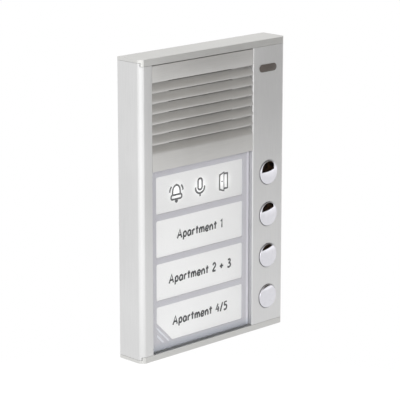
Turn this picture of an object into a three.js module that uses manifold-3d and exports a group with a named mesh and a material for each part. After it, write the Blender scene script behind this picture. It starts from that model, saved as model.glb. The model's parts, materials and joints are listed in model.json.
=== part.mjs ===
// Surface-mounted door intercom panel: an aluminium profile between two end caps, a louvred speaker
// panel, a backlit label window behind a clear lift-off cover, and four sprung call buttons.
//
// Millimetres, +Z up, +X to the viewer's right. The origin is the middle of the wall plate's rear
// face, and the front looks along -Y. Most pieces are easiest to place by how far they lie behind
// the front face, so depths are given as d, from 0 at the front face to DEPTH at the wall.
import * as THREE from 'three';
import { mergeVertices } from 'three/addons/utils/BufferGeometryUtils.js';
import Module from 'manifold-3d';

const wasm = await Module();
wasm.setup();

// Driving dimensions:

const WIDTH = 125;
const HEIGHT = 188;
const DEPTH = 20;
const WALL = 1.8; // thickness of the aluminium profile
const FIT = 0.3; // gap between neighbouring pieces

const HALF_WIDTH = WIDTH / 2;
const HALF_HEIGHT = HEIGHT / 2;

const corner = { across: 3, deep: 2.8, bulge: 0.36, steps: 4 }; // crowned bevel on the front edges
const cap = { band: 2, topLip: 4.2, bottomLip: 3.8, lipDepth: 1.5 };
const channel = { left: -53.1, right: 33.1, deep: 5.2, edge: 1 }; // recess that takes the inserts
const web = { front: channel.deep, back: channel.deep + 1.6 };
const boss = { inset: 6, front: 11, back: 17, bore: 1.3 }; // screw bosses along the side walls

const insertTop = HALF_HEIGHT - cap.topLip - 0.5;
const insertBottom = -HALF_HEIGHT + cap.bottomLip + 0.35;
const insertSplit = 24.8; // where the louvre panel ends and the label window begins
const louvre = { count: 7, pitch: 6.34, first: 79.3, deep: 2.7, flat: 1.1, crest: 0.6, slot: 1, back: 4.8 };

const cover = { front: 0.15, back: 2.75 };
const label = { width: 74.4, height: 23.2, x: -10.1, firstZ: 8.5, pitch: 27.3, film: 0.3 };
const frame = { front: 3.05, back: 4.6, rim: 0.35, pocket: 0.8, corner: 13.2 };
const button = { radius: 7.7, x: 47.4, proud: 1.6, travel: 1 };
const guide = { front: 5.6, back: 6.8 };
const board = { front: 9.2, back: 10.8, left: -53, right: 53.5, bottom: -87, top: 24 };
const speaker = { x: label.x, z: 57, radius: 20.5 };
const plate = { front: 18, back: DEPTH, halfWidth: 60.3, halfHeight: 91.3 };
const cableEntry = { z: -32, halfWidth: 9, halfHeight: 5 };

const finishes = {
  anodised: { color: 0xb9b9b7, roughness: 0.42, metalness: 0.9 },
  louvre: { color: 0xaeada9, roughness: 0.5, metalness: 0.5 },
  chrome: { color: 0xe4e4e8, roughness: 0.06, metalness: 1 },
  acrylic: { color: 0xeef2f6, roughness: 0.05, metalness: 0, transparent: true, opacity: 0.25 },
  frameGrey: { color: 0xbbbac1, roughness: 0.55, metalness: 0 },
  labelFilm: { color: 0xf2f2f2, roughness: 0.7, metalness: 0 },
  diffuser: { color: 0xf7f7f4, roughness: 0.6, metalness: 0 },
  badge: { color: 0x5d5a58, roughness: 0.45, metalness: 0.2 },
  blackPlastic: { color: 0x1d1d1f, roughness: 0.6, metalness: 0 },
  greyPlastic: { color: 0x8d8f92, roughness: 0.6, metalness: 0 },
  rubber: { color: 0x222222, roughness: 0.85, metalness: 0 },
  foam: { color: 0x2a2a2c, roughness: 0.95, metalness: 0 },
  cone: { color: 0x26241f, roughness: 0.9, metalness: 0 },
  mesh: { color: 0x2b2b2a, roughness: 0.8, metalness: 0.2 },
  board: { color: 0x1f5b3a, roughness: 0.5, metalness: 0 },
  terminal: { color: 0x2f7d4f, roughness: 0.5, metalness: 0 },
  led: { color: 0xfbf7e2, roughness: 0.3, metalness: 0 },
  steel: { color: 0xc2c3c5, roughness: 0.3, metalness: 1 },
};

const materials = Object.fromEntries(
  Object.entries(finishes).map(([name, finish]) => [name, new THREE.MeshStandardMaterial(finish)]),
);

const intercom = new THREE.Group();

function add(name, finish, geometry) {
  const mesh = new THREE.Mesh(geometry, materials[finish]);
  mesh.name = name;
  intercom.add(mesh);
  return mesh;
}

const atDepth = (d) => d - DEPTH;

const polygon = (points) => new THREE.Shape(points.map(([x, y]) => new THREE.Vector2(x, y)));

function rectangle(left, right, bottom, top) {
  return polygon([[left, bottom], [right, bottom], [right, top], [left, top]]);
}

function roundedRectangle(left, right, bottom, top, radius) {
  const shape = new THREE.Shape();
  shape.moveTo(left + radius, bottom);
  shape.absarc(right - radius, bottom + radius, radius, -Math.PI / 2, 0);
  shape.absarc(right - radius, top - radius, radius, 0, Math.PI / 2);
  shape.absarc(left + radius, top - radius, radius, Math.PI / 2, Math.PI);
  shape.absarc(left + radius, bottom + radius, radius, Math.PI, Math.PI * 1.5);
  return shape;
}

// An outline in x and z, from depth front to depth back.
function slab(shape, front, back, curveSegments = 4) {
  return new THREE.ExtrudeGeometry(shape, { depth: back - front, bevelEnabled: false, curveSegments })
    .rotateX(Math.PI / 2)
    .translate(0, atDepth(back), 0);
}

// A section in x and d, standing from z bottom to z top.
function column(shape, bottom, top) {
  return new THREE.ExtrudeGeometry(shape, { depth: top - bottom, bevelEnabled: false, curveSegments: 4 })
    .translate(0, -DEPTH, bottom);
}

// A section in d and z, running from x left to x right.
function rail(shape, left, right) {
  const lie = new THREE.Matrix4().makeBasis(
    new THREE.Vector3(0, 1, 0),
    new THREE.Vector3(0, 0, 1),
    new THREE.Vector3(1, 0, 0),
  );
  return new THREE.ExtrudeGeometry(shape, { depth: right - left, bevelEnabled: false })
    .applyMatrix4(lie)
    .translate(left, -DEPTH, 0);
}

function block(left, right, front, back, bottom, top) {
  return new THREE.BoxGeometry(right - left, back - front, top - bottom)
    .translate((left + right) / 2, atDepth((front + back) / 2), (bottom + top) / 2);
}

// A round bar through the panel, from depth front to depth back.
function rod(radius, x, z, front, back, sides = 16) {
  return new THREE.CylinderGeometry(radius, radius, back - front, sides)
    .translate(x, atDepth((front + back) / 2), z);
}

// A round bar standing along z.
function post(radius, x, d, bottom, top, sides = 16) {
  return new THREE.CylinderGeometry(radius, radius, top - bottom, sides)
    .rotateX(Math.PI / 2)
    .translate(x, atDepth(d), (bottom + top) / 2);
}

// A profile of [radius, depth] pairs turned about an axis through the panel. The pairs run from the
// wall side to the front side along the outside.
function turned(profile, x, z, sides = 24) {
  const points = profile.map(([r, d]) => new THREE.Vector2(r, -d));
  return new THREE.LatheGeometry(points, sides).rotateX(Math.PI).translate(x, -DEPTH, z);
}

// Joining and cutting:

function toSolid(geometry) {
  const bare = geometry.clone();
  bare.deleteAttribute('normal');
  bare.deleteAttribute('uv');
  const merged = mergeVertices(bare, 1e-4);
  return new wasm.Manifold(new wasm.Mesh({
    numProp: 3,
    vertProperties: merged.attributes.position.array,
    triVerts: new Uint32Array(merged.index.array),
  }));
}

function toGeometry(solid) {
  const mesh = solid.getMesh();
  return new THREE.BufferGeometry()
    .setAttribute('position', new THREE.BufferAttribute(mesh.vertProperties, mesh.numProp))
    .setIndex(new THREE.BufferAttribute(mesh.triVerts, 1));
}

const join = (first, ...others) =>
  toGeometry(others.reduce((sum, other) => sum.add(toSolid(other)), toSolid(first)));

const cut = (first, ...tools) =>
  toGeometry(tools.reduce((rest, tool) => rest.subtract(toSolid(tool)), toSolid(first)));

const common = (first, second) => toGeometry(toSolid(first).intersect(toSolid(second)));

// Profile and end caps:

// The crowned bevel on the front left edge, from the side face to the front face, as [x, d] points.
function cornerPoints() {
  const points = [];
  for (let step = 0; step <= corner.steps; step += 1) {
    const t = step / corner.steps;
    const crown = corner.bulge * Math.sin(Math.PI * t);
    points.push([
      -HALF_WIDTH + corner.across * t - crown * Math.SQRT1_2,
      corner.deep * (1 - t) - crown * Math.SQRT1_2,
    ]);
  }
  return points;
}

const mirrored = (points) => points.map(([x, d]) => [-x, d]).reverse();

const outerOutline = () =>
  polygon([[-HALF_WIDTH, DEPTH], ...cornerPoints(), ...mirrored(cornerPoints()), [HALF_WIDTH, DEPTH]]);

// The inside of one side wall with its screw boss, from the back edge to the front wall.
function leftInside() {
  const wall = -HALF_WIDTH + WALL;
  return [
    [wall, DEPTH],
    [wall, boss.back],
    [wall + boss.inset, boss.back],
    [wall + boss.inset, boss.front],
    [wall, boss.front],
    [wall, WALL + 1.5],
    [wall + 1.5, WALL],
  ];
}

const bossCentre = { x: -HALF_WIDTH + WALL + boss.inset / 2, d: (boss.front + boss.back) / 2 };

function housingProfile() {
  const section = polygon([
    [-HALF_WIDTH, DEPTH],
    ...cornerPoints(),
    [channel.left, 0],
    [channel.left, web.front],
    [channel.right, web.front],
    [channel.right, channel.edge],
    [channel.right + channel.edge, 0],
    ...mirrored(cornerPoints()),
    [HALF_WIDTH, DEPTH],
    ...mirrored(leftInside()).reverse(),
    [channel.right + WALL, WALL],
    [channel.right + WALL, web.back],
    [channel.left - WALL, web.back],
    [channel.left - WALL, WALL],
    ...leftInside().reverse(),
  ]);
  for (const side of [-1, 1]) {
    const bore = new THREE.Path();
    bore.absarc(side * -bossCentre.x, bossCentre.d, boss.bore, 0, Math.PI * 2, true);
    section.holes.push(bore);
  }
  const end = HALF_HEIGHT - cap.band - FIT;
  const tools = [
    block(-WIDTH, WIDTH, -5, WALL, HALF_HEIGHT - cap.topLip - FIT, HEIGHT),
    block(-WIDTH, WIDTH, -5, WALL, -HEIGHT, -HALF_HEIGHT + cap.bottomLip + FIT),
  ];
  tools.push(rod(speaker.radius - 2, speaker.x, speaker.z, 0, web.back + 1, 32));
  tools.push(block(-49, 29.5, web.front - 1, web.back + 1, -87, 21));
  for (let n = 0; n < 4; n += 1) {
    tools.push(rod(button.radius + 0.3, button.x, buttonHeight(n), -1, WALL + 1, 32));
  }
  return cut(column(section, -end, end), ...tools);
}

function buttonHeight(n) {
  return label.firstZ - n * label.pitch;
}

// One end cap as it sits at the top: a plate, a front lip and an inner tongue.
function endCap(lipHeight) {
  const under = HALF_HEIGHT - cap.band;
  const lip = common(
    column(outerOutline(), HALF_HEIGHT - lipHeight, HALF_HEIGHT),
    block(-WIDTH, WIDTH, -5, cap.lipDepth, 0, HEIGHT),
  );
  const tongue = block(-40, 25, 8.5, 10, under - 3.5, HALF_HEIGHT - 1);
  return join(column(outerOutline(), under, HALF_HEIGHT), lip, tongue);
}

function topCap() {
  const pegs = [-1, 1].map((side) =>
    post(boss.bore - 0.15, side * bossCentre.x, bossCentre.d, HALF_HEIGHT - 10, HALF_HEIGHT - 1, 12));
  return join(endCap(cap.topLip), ...pegs);
}

const screw = { head: 2.7, headDeep: 1.6, shank: 1.05, length: 9, socket: 1 };
const lockX = 0;
const microphone = { x: button.x, d: 14.4, radius: 2.2 };

function bottomCap() {
  const upsideDown = endCap(cap.bottomLip).applyMatrix4(new THREE.Matrix4().makeScale(1, 1, -1));
  const index = upsideDown.index.array;
  for (let i = 0; i < index.length; i += 3) {
    [index[i + 1], index[i + 2]] = [index[i + 2], index[i + 1]];
  }
  const holes = [bossCentre.x, lockX, -bossCentre.x].flatMap((x) => [
    post(screw.shank + FIT, x, bossCentre.d, -HEIGHT, -HALF_HEIGHT + cap.band + 1),
    new THREE.CylinderGeometry(screw.shank + FIT, screw.head + FIT, screw.headDeep + FIT, 16)
      .rotateX(Math.PI / 2)
      .translate(x, atDepth(bossCentre.d), -HALF_HEIGHT + (screw.headDeep + FIT) / 2 - 0.01),
  ]);
  holes.push(post(1, microphone.x, microphone.d, -HEIGHT, -HALF_HEIGHT + cap.band + 1, 12));
  return cut(upsideDown, ...holes);
}

// A countersunk screw driven upwards through the bottom cap.
function capScrew(x) {
  const bottom = -HALF_HEIGHT + 0.1;
  const profile = [
    [0, bottom],
    [screw.head, bottom],
    [screw.shank, bottom + screw.headDeep],
    [screw.shank, bottom + screw.length],
    [0, bottom + screw.length + 0.6],
  ];
  const body = new THREE.LatheGeometry(profile.map(([r, z]) => new THREE.Vector2(r, z)), 16)
    .rotateX(Math.PI / 2);
  const socket = new THREE.CylinderGeometry(screw.socket, screw.socket, 2, 6)
    .rotateX(Math.PI / 2)
    .translate(0, 0, bottom);
  return cut(body, socket).translate(x, atDepth(bossCentre.d), 0);
}

add('housing_profile', 'anodised', housingProfile());
add('top_cap', 'anodised', topCap());
add('bottom_cap', 'anodised', bottomCap());
add('cap_screw_left', 'steel', capScrew(bossCentre.x));
add('cap_screw_right', 'steel', capScrew(-bossCentre.x));
add('lock_screw', 'steel', capScrew(lockX));

// Louvred speaker panel:

const insertLeft = channel.left + 0.25;
const insertRight = channel.right - 0.25;

// Sawtooth front: each groove drops straight in under a crest and ramps back out to the next one.
function louvrePanel() {
  const points = [[louvre.back, insertSplit], [louvre.back, insertTop], [0, insertTop]];
  for (let n = 0; n < louvre.count; n += 1) {
    const top = louvre.first - n * louvre.pitch;
    points.push([0, top], [louvre.deep, top], [louvre.deep, top - louvre.flat]);
    points.push([0, top - louvre.pitch + louvre.crest]);
  }
  points.push([0, insertSplit]);
  const slots = Array.from({ length: louvre.count }, (_, n) => {
    const top = louvre.first - n * louvre.pitch - 0.1;
    return block(speaker.x - 27, speaker.x + 27, 1.5, louvre.back + 1, top - louvre.slot, top);
  });
  return cut(rail(polygon(points), insertLeft, insertRight), ...slots);
}

add('louvre_panel', 'louvre', louvrePanel());
add('splash_mesh', 'mesh', block(speaker.x - 30, speaker.x + 30, 4.87, 5.12, 32, 82));

// Label window:

const fieldLeft = label.x - label.width / 2;
const fieldRight = label.x + label.width / 2;
const windowTop = insertSplit - 0.4;
const lugs = [-1, 1].flatMap((side) => [[label.x + side * 28, windowTop - 2], [label.x + side * 28, -87.6]]);

// A field's outline grown by a margin. The lowest field has its left corner cut off.
function fieldOutline(n, margin) {
  const middle = buttonHeight(n);
  const left = fieldLeft - margin;
  const right = fieldRight + margin;
  const bottom = middle - label.height / 2 - margin;
  const top = middle + label.height / 2 + margin;
  const cutOff = n === 3 ? frame.corner : 0.01;
  return polygon([
    [left + cutOff, bottom],
    [right, bottom],
    [right, top],
    [left, top],
    [left, bottom + cutOff],
  ]);
}

// Two slanting light slits in the corner that the lowest field leaves free.
function cornerSlits() {
  const bottom = buttonHeight(3) - label.height / 2;
  return [[9.2, 10.9], [4.5, 6.2]].map(([near, far]) => slab(
    polygon([
      [fieldLeft + near, bottom],
      [fieldLeft + far, bottom],
      [fieldLeft, bottom + far],
      [fieldLeft, bottom + near],
    ]),
    frame.front - 1,
    frame.back + 1,
  ));
}

function labelFrame() {
  const tools = cornerSlits();
  for (let n = 0; n < 4; n += 1) {
    tools.push(slab(fieldOutline(n, 0), frame.front - 1, frame.back + 1));
    tools.push(slab(fieldOutline(n, frame.pocket), frame.front + frame.rim, frame.back + 1));
  }
  for (const [x, z] of lugs) tools.push(block(x - 2.4, x + 2.4, 0, frame.back + 1, z - 0.9, z + 0.9));
  const blank = block(insertLeft, insertRight, frame.front, frame.back, insertBottom, windowTop);
  return cut(blank, ...tools);
}

function windowCover() {
  const sheet = block(insertLeft, insertRight, cover.front, cover.back, insertBottom, windowTop);
  const clips = lugs.map(([x, z]) =>
    block(x - 2, x + 2, cover.back - 0.5, frame.back - 0.3, z - 0.5, z + 0.5));
  return join(sheet, ...clips);
}

function labelFilm(n) {
  const front = frame.front + frame.rim + 0.05;
  return slab(fieldOutline(n, frame.pocket - 0.2), front, front + label.film);
}

const ledSpots = [
  ['symbol_led_1', fieldLeft + 13.5, 0],
  ['symbol_led_2', label.x - 1, 0],
  ['symbol_led_3', fieldRight - 16, 0],
  ['name_led_1', label.x, 1],
  ['name_led_2', label.x, 2],
  ['name_led_3', label.x, 3],
];
const boardScrewSpots = [[-48.2, -85.2], [-48.2, 19.6], [28.7, -85.2], [28.7, 19.6]];

function diffuserPlate() {
  const flange = block(-51.5, 32, web.back + 0.1, web.back + 1.3, -88.5, 23);
  const front = block(-48.7, 29.2, frame.back + 0.2, web.back + 0.2, -86.7, 20.7);
  const pocket = block(-44, 25, web.back, web.back + 3, -82, 16.5);
  const posts = boardScrewSpots.map(([x, z]) => rod(2.4, x, z, web.back + 1, board.front - 0.1, 12));
  const bores = boardScrewSpots.map(([x, z]) => rod(1.2, x, z, web.back, board.front, 10));
  return cut(join(front, flange, ...posts), pocket, ...bores);
}

add('window_cover', 'acrylic', windowCover());
add('label_frame', 'frameGrey', labelFrame());
add('symbol_label', 'labelFilm', labelFilm(0));
for (let n = 1; n < 4; n += 1) add(`name_label_${n}`, 'labelFilm', labelFilm(n));
add('diffuser_plate', 'diffuser', diffuserPlate());

// Badge on the button column:

const badge = { x: 46.2, z: 75.9, halfLength: 7.6, halfHeight: 2.4, thick: 0.2 };
add('blank_badge', 'badge', slab(
  roundedRectangle(
    badge.x - badge.halfLength,
    badge.x + badge.halfLength,
    badge.z - badge.halfHeight,
    badge.z + badge.halfHeight,
    badge.halfHeight - 0.01,
  ),
  -badge.thick - 0.05,
  -0.05,
));

// Call buttons:

const flange = { radius: 9.2, front: WALL + 0.15, back: 2.8 };
const stem = { radius: 2.4, end: guide.back + 0.1 };

// A thin chromed cup with a domed face.
function buttonCap(z) {
  const rim = 1.7;
  const skin = 0.7;
  return turned([
    [button.radius - skin, rim],
    [button.radius, rim],
    [button.radius, -0.5],
    [button.radius - 0.35, -0.85],
    [button.radius * 0.66, -1.32],
    [button.radius * 0.33, -1.54],
    [0, -button.proud],
    [0, -button.proud + skin],
    [button.radius * 0.5, -1.45 + skin],
    [button.radius - skin, -0.8 + skin],
    [button.radius - skin, rim],
  ], button.x, z);
}

// The plastic plunger: a plug inside the cap, a retaining flange and a stem down to the switch.
function buttonPlunger(z) {
  return turned([
    [0, stem.end],
    [stem.radius, stem.end],
    [stem.radius, flange.back],
    [flange.radius, flange.back],
    [flange.radius, flange.front],
    [button.radius - 0.9, flange.front],
    [button.radius - 0.9, 0.2],
    [0, 0.2],
  ], button.x, z, 20);
}

// A conical coil: its turns nest inside one another, so it can close up flat.
class Coil extends THREE.Curve {
  constructor(coil, start, end, x, z) {
    super();
    Object.assign(this, { ...coil, start, end, x, z });
  }

  getPoint(t, target = new THREE.Vector3()) {
    const angle = t * this.turns * Math.PI * 2;
    const radius = this.wide + (this.narrow - this.wide) * t;
    return target.set(
      this.x + radius * Math.cos(angle),
      atDepth(this.start + (this.end - this.start) * t),
      this.z + radius * Math.sin(angle),
    );
  }
}

const coil = { wide: 6.6, narrow: 3.7, turns: 3, wire: 0.28 };

function buttonSpring(z) {
  const ends = [flange.back + coil.wire + 0.06, guide.front - coil.wire - 0.06];
  const path = new Coil(coil, ...ends, button.x, z);
  const section = new THREE.Shape();
  section.absarc(0, 0, coil.wire, 0, Math.PI * 2);
  return new THREE.ExtrudeGeometry(section, {
    steps: 42,
    curveSegments: 5,
    bevelEnabled: false,
    extrudePath: path,
  });
}

function callSwitch(z) {
  const body = block(button.x - 3, button.x + 3, 8.15, board.front - 0.05, z - 3, z + 3);
  return join(body, rod(1.6, button.x, z, stem.end + button.travel + 0.1, 8.5, 12));
}

function buttonGuide() {
  const left = channel.right + WALL + 0.4;
  const right = HALF_WIDTH - WALL - 1.6;
  const bottom = -85;
  const top = 19;
  const ribs = [left, right - 1.2].map((x) => block(x, x + 1.2, WALL + 0.2, guide.back, bottom, top));
  const bores = [0, 1, 2, 3].map((n) => rod(stem.radius + 0.15, button.x, buttonHeight(n), 0, 9, 20));
  return cut(join(block(left, right, guide.front, guide.back, bottom, top), ...ribs), ...bores);
}

for (let n = 0; n < 4; n += 1) {
  const z = buttonHeight(n);
  add(`call_button_cap_${n + 1}`, 'chrome', buttonCap(z));
  add(`call_button_plunger_${n + 1}`, 'greyPlastic', buttonPlunger(z));
  add(`call_button_spring_${n + 1}`, 'steel', buttonSpring(z));
  add(`call_switch_${n + 1}`, 'blackPlastic', callSwitch(z));
}
add('button_guide', 'greyPlastic', buttonGuide());

// Circuit board:

function mainBoard() {
  const blank = block(board.left, board.right, board.front, board.back, board.bottom, board.top);
  const holes = boardScrewSpots.map(([x, z]) => rod(1.3, x, z, board.front - 1, board.back + 1, 12));
  return cut(blank, ...holes);
}

function boardScrew(x, z) {
  const head = { radius: 2.2, back: board.back + 1.5 };
  return turned([
    [0, head.back],
    [head.radius - 0.5, head.back],
    [head.radius, board.back + 0.9],
    [head.radius, board.back + 0.05],
    [1, board.back + 0.05],
    [1, web.back + 0.9],
    [0, web.back + 0.6],
  ], x, z, 14);
}

const terminal = { x: -22, z: -66, pitch: 5, poles: 4, halfHeight: 4.2, back: 17.2 };

// Screw terminals on the back of the board, with the wire entries facing down.
function terminalBlock() {
  const half = (terminal.pitch * terminal.poles) / 2 + 0.5;
  const front = board.back + 0.05;
  const body = block(
    terminal.x - half,
    terminal.x + half,
    front,
    terminal.back,
    terminal.z - terminal.halfHeight,
    terminal.z + terminal.halfHeight,
  );
  const tools = terminalXs().flatMap((x) => [
    rod(1.9, x, terminal.z + 0.8, terminal.back - 2.6, terminal.back + 1, 14),
    block(x - 1.6, x + 1.6, front + 1, front + 3, terminal.z - 9, terminal.z - 1.5),
  ]);
  return cut(body, ...tools);
}

function terminalXs() {
  return Array.from({ length: terminal.poles }, (_, n) =>
    terminal.x + (n - (terminal.poles - 1) / 2) * terminal.pitch);
}

function terminalScrew(x) {
  const top = terminal.back - 0.5;
  const z = terminal.z + 0.8;
  const slot = block(x - 0.3, x + 0.3, top - 0.6, top + 1, z - 3, z + 3);
  return cut(rod(1.6, x, z, terminal.back - 2.5, top, 14), slot);
}

add('main_board', 'board', mainBoard());
boardScrewSpots.forEach(([x, z], n) => add(`board_screw_${n + 1}`, 'steel', boardScrew(x, z)));
for (const [name, x, row] of ledSpots) {
  const z = buttonHeight(row);
  add(name, 'led', block(x - 1.75, x + 1.75, board.front - 1.1, board.front - 0.05, z - 1.4, z + 1.4));
}
add('terminal_block', 'terminal', terminalBlock());
terminalXs().forEach((x, n) => add(`terminal_screw_${n + 1}`, 'steel', terminalScrew(x)));

// Loudspeaker:

const spotX = speaker.x;
const spotZ = speaker.z;

add('speaker_gasket', 'foam', turned([
  [speaker.radius - 3, 8.1],
  [speaker.radius, 8.1],
  [speaker.radius, web.back + 0.1],
  [speaker.radius - 3, web.back + 0.1],
  [speaker.radius - 3, 8.1],
], spotX, spotZ, 32));

add('speaker_basket', 'blackPlastic', turned([
  [0, 13.2],
  [11.5, 13.2],
  [17.8, 9.4],
  [speaker.radius, 9.4],
  [speaker.radius, 8.2],
  [17.2, 8.2],
  [10.9, 12.4],
  [0, 12.4],
], spotX, spotZ, 32));

add('speaker_cone', 'cone', turned([
  [0, 11],
  [5.4, 11.2],
  [7.4, 12.1],
  [16.9, 8.1],
  [16.9, 7.6],
  [7.4, 11.5],
  [5.4, 10.4],
  [0, 9.6],
], spotX, spotZ, 32));

add('speaker_magnet', 'steel', rod(9.5, spotX, spotZ, 13.3, 17, 28));

// A ring that snaps under the speaker's flange, with two feet standing on the web.
function speakerClamp() {
  const inner = speaker.radius - 2.2;
  const ring = turned([
    [inner, 10.7],
    [speaker.radius + 2, 10.7],
    [speaker.radius + 2, 9.5],
    [inner, 9.5],
    [inner, 10.7],
  ], spotX, spotZ, 32);
  const feet = [-1, 1].map((side) => {
    const x = spotX + side * (speaker.radius + 4);
    return block(x - 3.4, x + 3.4, web.back + 0.1, 10.7, spotZ - 4, spotZ + 4);
  });
  const clear = rod(speaker.radius + 0.3, spotX, spotZ, 0, 9.5, 32);
  return cut(join(ring, ...feet), clear);
}
add('speaker_clamp', 'greyPlastic', speakerClamp());

// Microphone:

const micZ = -HALF_HEIGHT + cap.band + 0.5;

add('microphone', 'steel', post(microphone.radius, microphone.x, microphone.d, micZ + 1.5, micZ + 4.3, 18));
add('microphone_boot', 'rubber', cut(
  post(microphone.radius + 1.1, microphone.x, microphone.d, micZ, micZ + 5, 18),
  post(microphone.radius + 0.15, microphone.x, microphone.d, micZ + 1.3, micZ + 6, 18),
  post(1, microphone.x, microphone.d, micZ - 1, micZ + 2, 12),
));

// Wall plate:

const wallSlots = [[-46, 72], [46, 72], [-46, -72], [46, -72], [-30, 8], [30, 8]];
const sealGap = 2.5; // rubber between the plate's window and the cable entry

function wallPlate() {
  const { front, back, halfWidth, halfHeight } = plate;
  const sheet = block(-halfWidth, halfWidth, front, back, -halfHeight, halfHeight);
  const hooks = [-34, 34].map((x) =>
    block(x - 5, x + 5, 12, front + 0.5, halfHeight - 1.5, halfHeight));
  const lockTab = block(-7, 7, 10.8, front + 0.5, -halfHeight, -halfHeight + 1.6);
  const entry = block(
    -cableEntry.halfWidth - sealGap,
    cableEntry.halfWidth + sealGap,
    front - 1,
    back + 1,
    cableEntry.z - cableEntry.halfHeight - sealGap,
    cableEntry.z + cableEntry.halfHeight + sealGap,
  );
  const slots = wallSlots.map(([x, z]) =>
    slab(roundedRectangle(x - 4, x + 4, z - 2.25, z + 2.25, 2.24), front - 1, back + 1));
  const lockHole = post(screw.shank + FIT, lockX, bossCentre.d, -HALF_HEIGHT, -HALF_HEIGHT + 8, 12);
  return cut(join(sheet, ...hooks, lockTab), entry, lockHole, ...slots);
}

function cableSeal() {
  const ring = (margin, front, back) => {
    const halfWidth = cableEntry.halfWidth + margin;
    const halfHeight = cableEntry.halfHeight + margin;
    return block(-halfWidth, halfWidth, front, back, cableEntry.z - halfHeight, cableEntry.z + halfHeight);
  };
  const body = join(
    ring(sealGap - 0.2, plate.front - 0.8, plate.back - 0.2),
    ring(sealGap + 2, plate.front - 1.2, plate.front - 0.1),
  );
  return cut(body, ring(0, plate.front - 5, plate.back + 5));
}

add('wall_plate', 'steel', wallPlate());
add('cable_seal', 'rubber', cableSeal());

export default intercom;
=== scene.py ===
import json
import math

import bmesh
import bpy
from mathutils import Matrix, Vector


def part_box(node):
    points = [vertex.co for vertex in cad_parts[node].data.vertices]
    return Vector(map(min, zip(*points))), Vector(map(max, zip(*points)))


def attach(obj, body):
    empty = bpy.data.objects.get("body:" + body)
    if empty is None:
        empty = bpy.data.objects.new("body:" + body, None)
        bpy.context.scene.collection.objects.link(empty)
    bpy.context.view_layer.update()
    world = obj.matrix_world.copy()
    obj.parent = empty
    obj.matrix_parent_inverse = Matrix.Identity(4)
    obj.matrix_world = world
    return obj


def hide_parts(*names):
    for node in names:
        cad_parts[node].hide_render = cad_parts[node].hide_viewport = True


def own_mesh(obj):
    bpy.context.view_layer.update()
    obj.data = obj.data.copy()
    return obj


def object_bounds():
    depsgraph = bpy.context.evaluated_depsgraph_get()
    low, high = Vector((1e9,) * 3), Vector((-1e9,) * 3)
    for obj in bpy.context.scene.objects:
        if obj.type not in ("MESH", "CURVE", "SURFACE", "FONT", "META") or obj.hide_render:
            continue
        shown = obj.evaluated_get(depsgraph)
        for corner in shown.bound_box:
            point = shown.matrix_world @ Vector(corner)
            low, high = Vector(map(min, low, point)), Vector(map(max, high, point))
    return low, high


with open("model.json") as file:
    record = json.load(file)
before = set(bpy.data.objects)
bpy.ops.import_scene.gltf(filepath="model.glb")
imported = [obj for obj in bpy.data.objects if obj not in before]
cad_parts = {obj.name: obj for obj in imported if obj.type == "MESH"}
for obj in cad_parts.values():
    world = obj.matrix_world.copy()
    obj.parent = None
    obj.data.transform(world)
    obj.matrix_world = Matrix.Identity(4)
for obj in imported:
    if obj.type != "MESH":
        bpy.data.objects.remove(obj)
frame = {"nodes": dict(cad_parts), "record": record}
cadLow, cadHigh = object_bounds()
scene = bpy.context.scene
mm = 0.001

# The panel's main sizes in millimetres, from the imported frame. Depths, called d, run from the
# front face, 0, to the wall, panelDepth.
profileLow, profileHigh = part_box("housing_profile")
halfWidth = profileHigh[0] / mm
frontY = profileLow[1] / mm
panelDepth = -frontY
halfHeight = cadHigh[2] / mm


def boxIn(node):
    # a CAD node's box in millimetres
    low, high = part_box(node)
    return [v / mm for v in low], [v / mm for v in high]


def middleOf(node):
    # as x, d, z
    x, y, z = ((a + b) / 2 for a, b in zip(*boxIn(node)))
    return x, y + panelDepth, z


def place(x, d, z):
    return Vector((x, d - panelDepth, z)) * mm


# Camera and light come first.
view = {
    "azimuth": 44.4,  # degrees to the left of straight ahead
    "elevation": 14.15,
    "distance": 1.241,
    "lens": 179.55,
    "target": (-2.5, 10.0, 0.0),  # x, d, z
    "slide": (-0.72, -2.66),  # right and up
}


def makeCamera():
    azimuth, elevation = math.radians(view["azimuth"]), math.radians(view["elevation"])
    back = Vector((
        -math.sin(azimuth) * math.cos(elevation),
        -math.cos(azimuth) * math.cos(elevation),
        math.sin(elevation),
    ))
    turn = (-back).to_track_quat("-Z", "Y")
    slide = turn @ Vector((view["slide"][0], view["slide"][1], 0)) * mm
    data = bpy.data.cameras.new("camera")
    data.lens = view["lens"]
    data.sensor_width = 36
    data.clip_start, data.clip_end = 0.05, 50
    camera = bpy.data.objects.new("camera", data)
    camera.rotation_mode = "QUATERNION"
    camera.rotation_quaternion = turn
    camera.location = place(*view["target"]) + back * view["distance"] + slide
    scene.collection.objects.link(camera)
    scene.camera = camera


# Distances are in metres and angles in degrees here; every other size in this file is in
# millimetres.
studio = {
    "surround": 1.0,
    "floorReach": 4.0,
    "floorGap": 0.002,
    "glows": [
        # brighter patches of the floor: azimuth, distance, reach, extra strength
        (-48, 0.34, 0.31, 0.62),  # fills the corner strip
        (46, 0.8, 0.5, 0.5),  # fills the upper front
    ],
    "shade": (0.29, 0.27, 0.24),  # the darker side of the room, seen only in reflections
    "shadeAzimuth": 50,
    "shadeElevation": 56,
    "shadeCore": 26,
    "shadeReach": 56,
    "lights": [
        # name, azimuth to the right, elevation, distance, width, height, power
        ("cameraLight", -47, 0, 1.3, 0.7, 0.9, 3.7),
        ("topLight", -30, 75, 1.4, 1.2, 1.2, 0.5),
        ("backLight", 135, 24, 1.3, 0.7, 0.5, 0.55),
    ],
    "cardAzimuth": 40,
    "cardDistance": 0.37,
    "cardWidth": 0.26,
    "cardBottom": -0.05,
    "cardSlant": 0.024,  # how much lower its lower edge ends on the left
    "cardTop": 0.1,
    "cardShift": (0.045, -0.02, 0),
    "cardTones": ((0.003, 0.003, 0.003), (0.05, 0.026, 0.012)),  # the card and its folds
}


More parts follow.
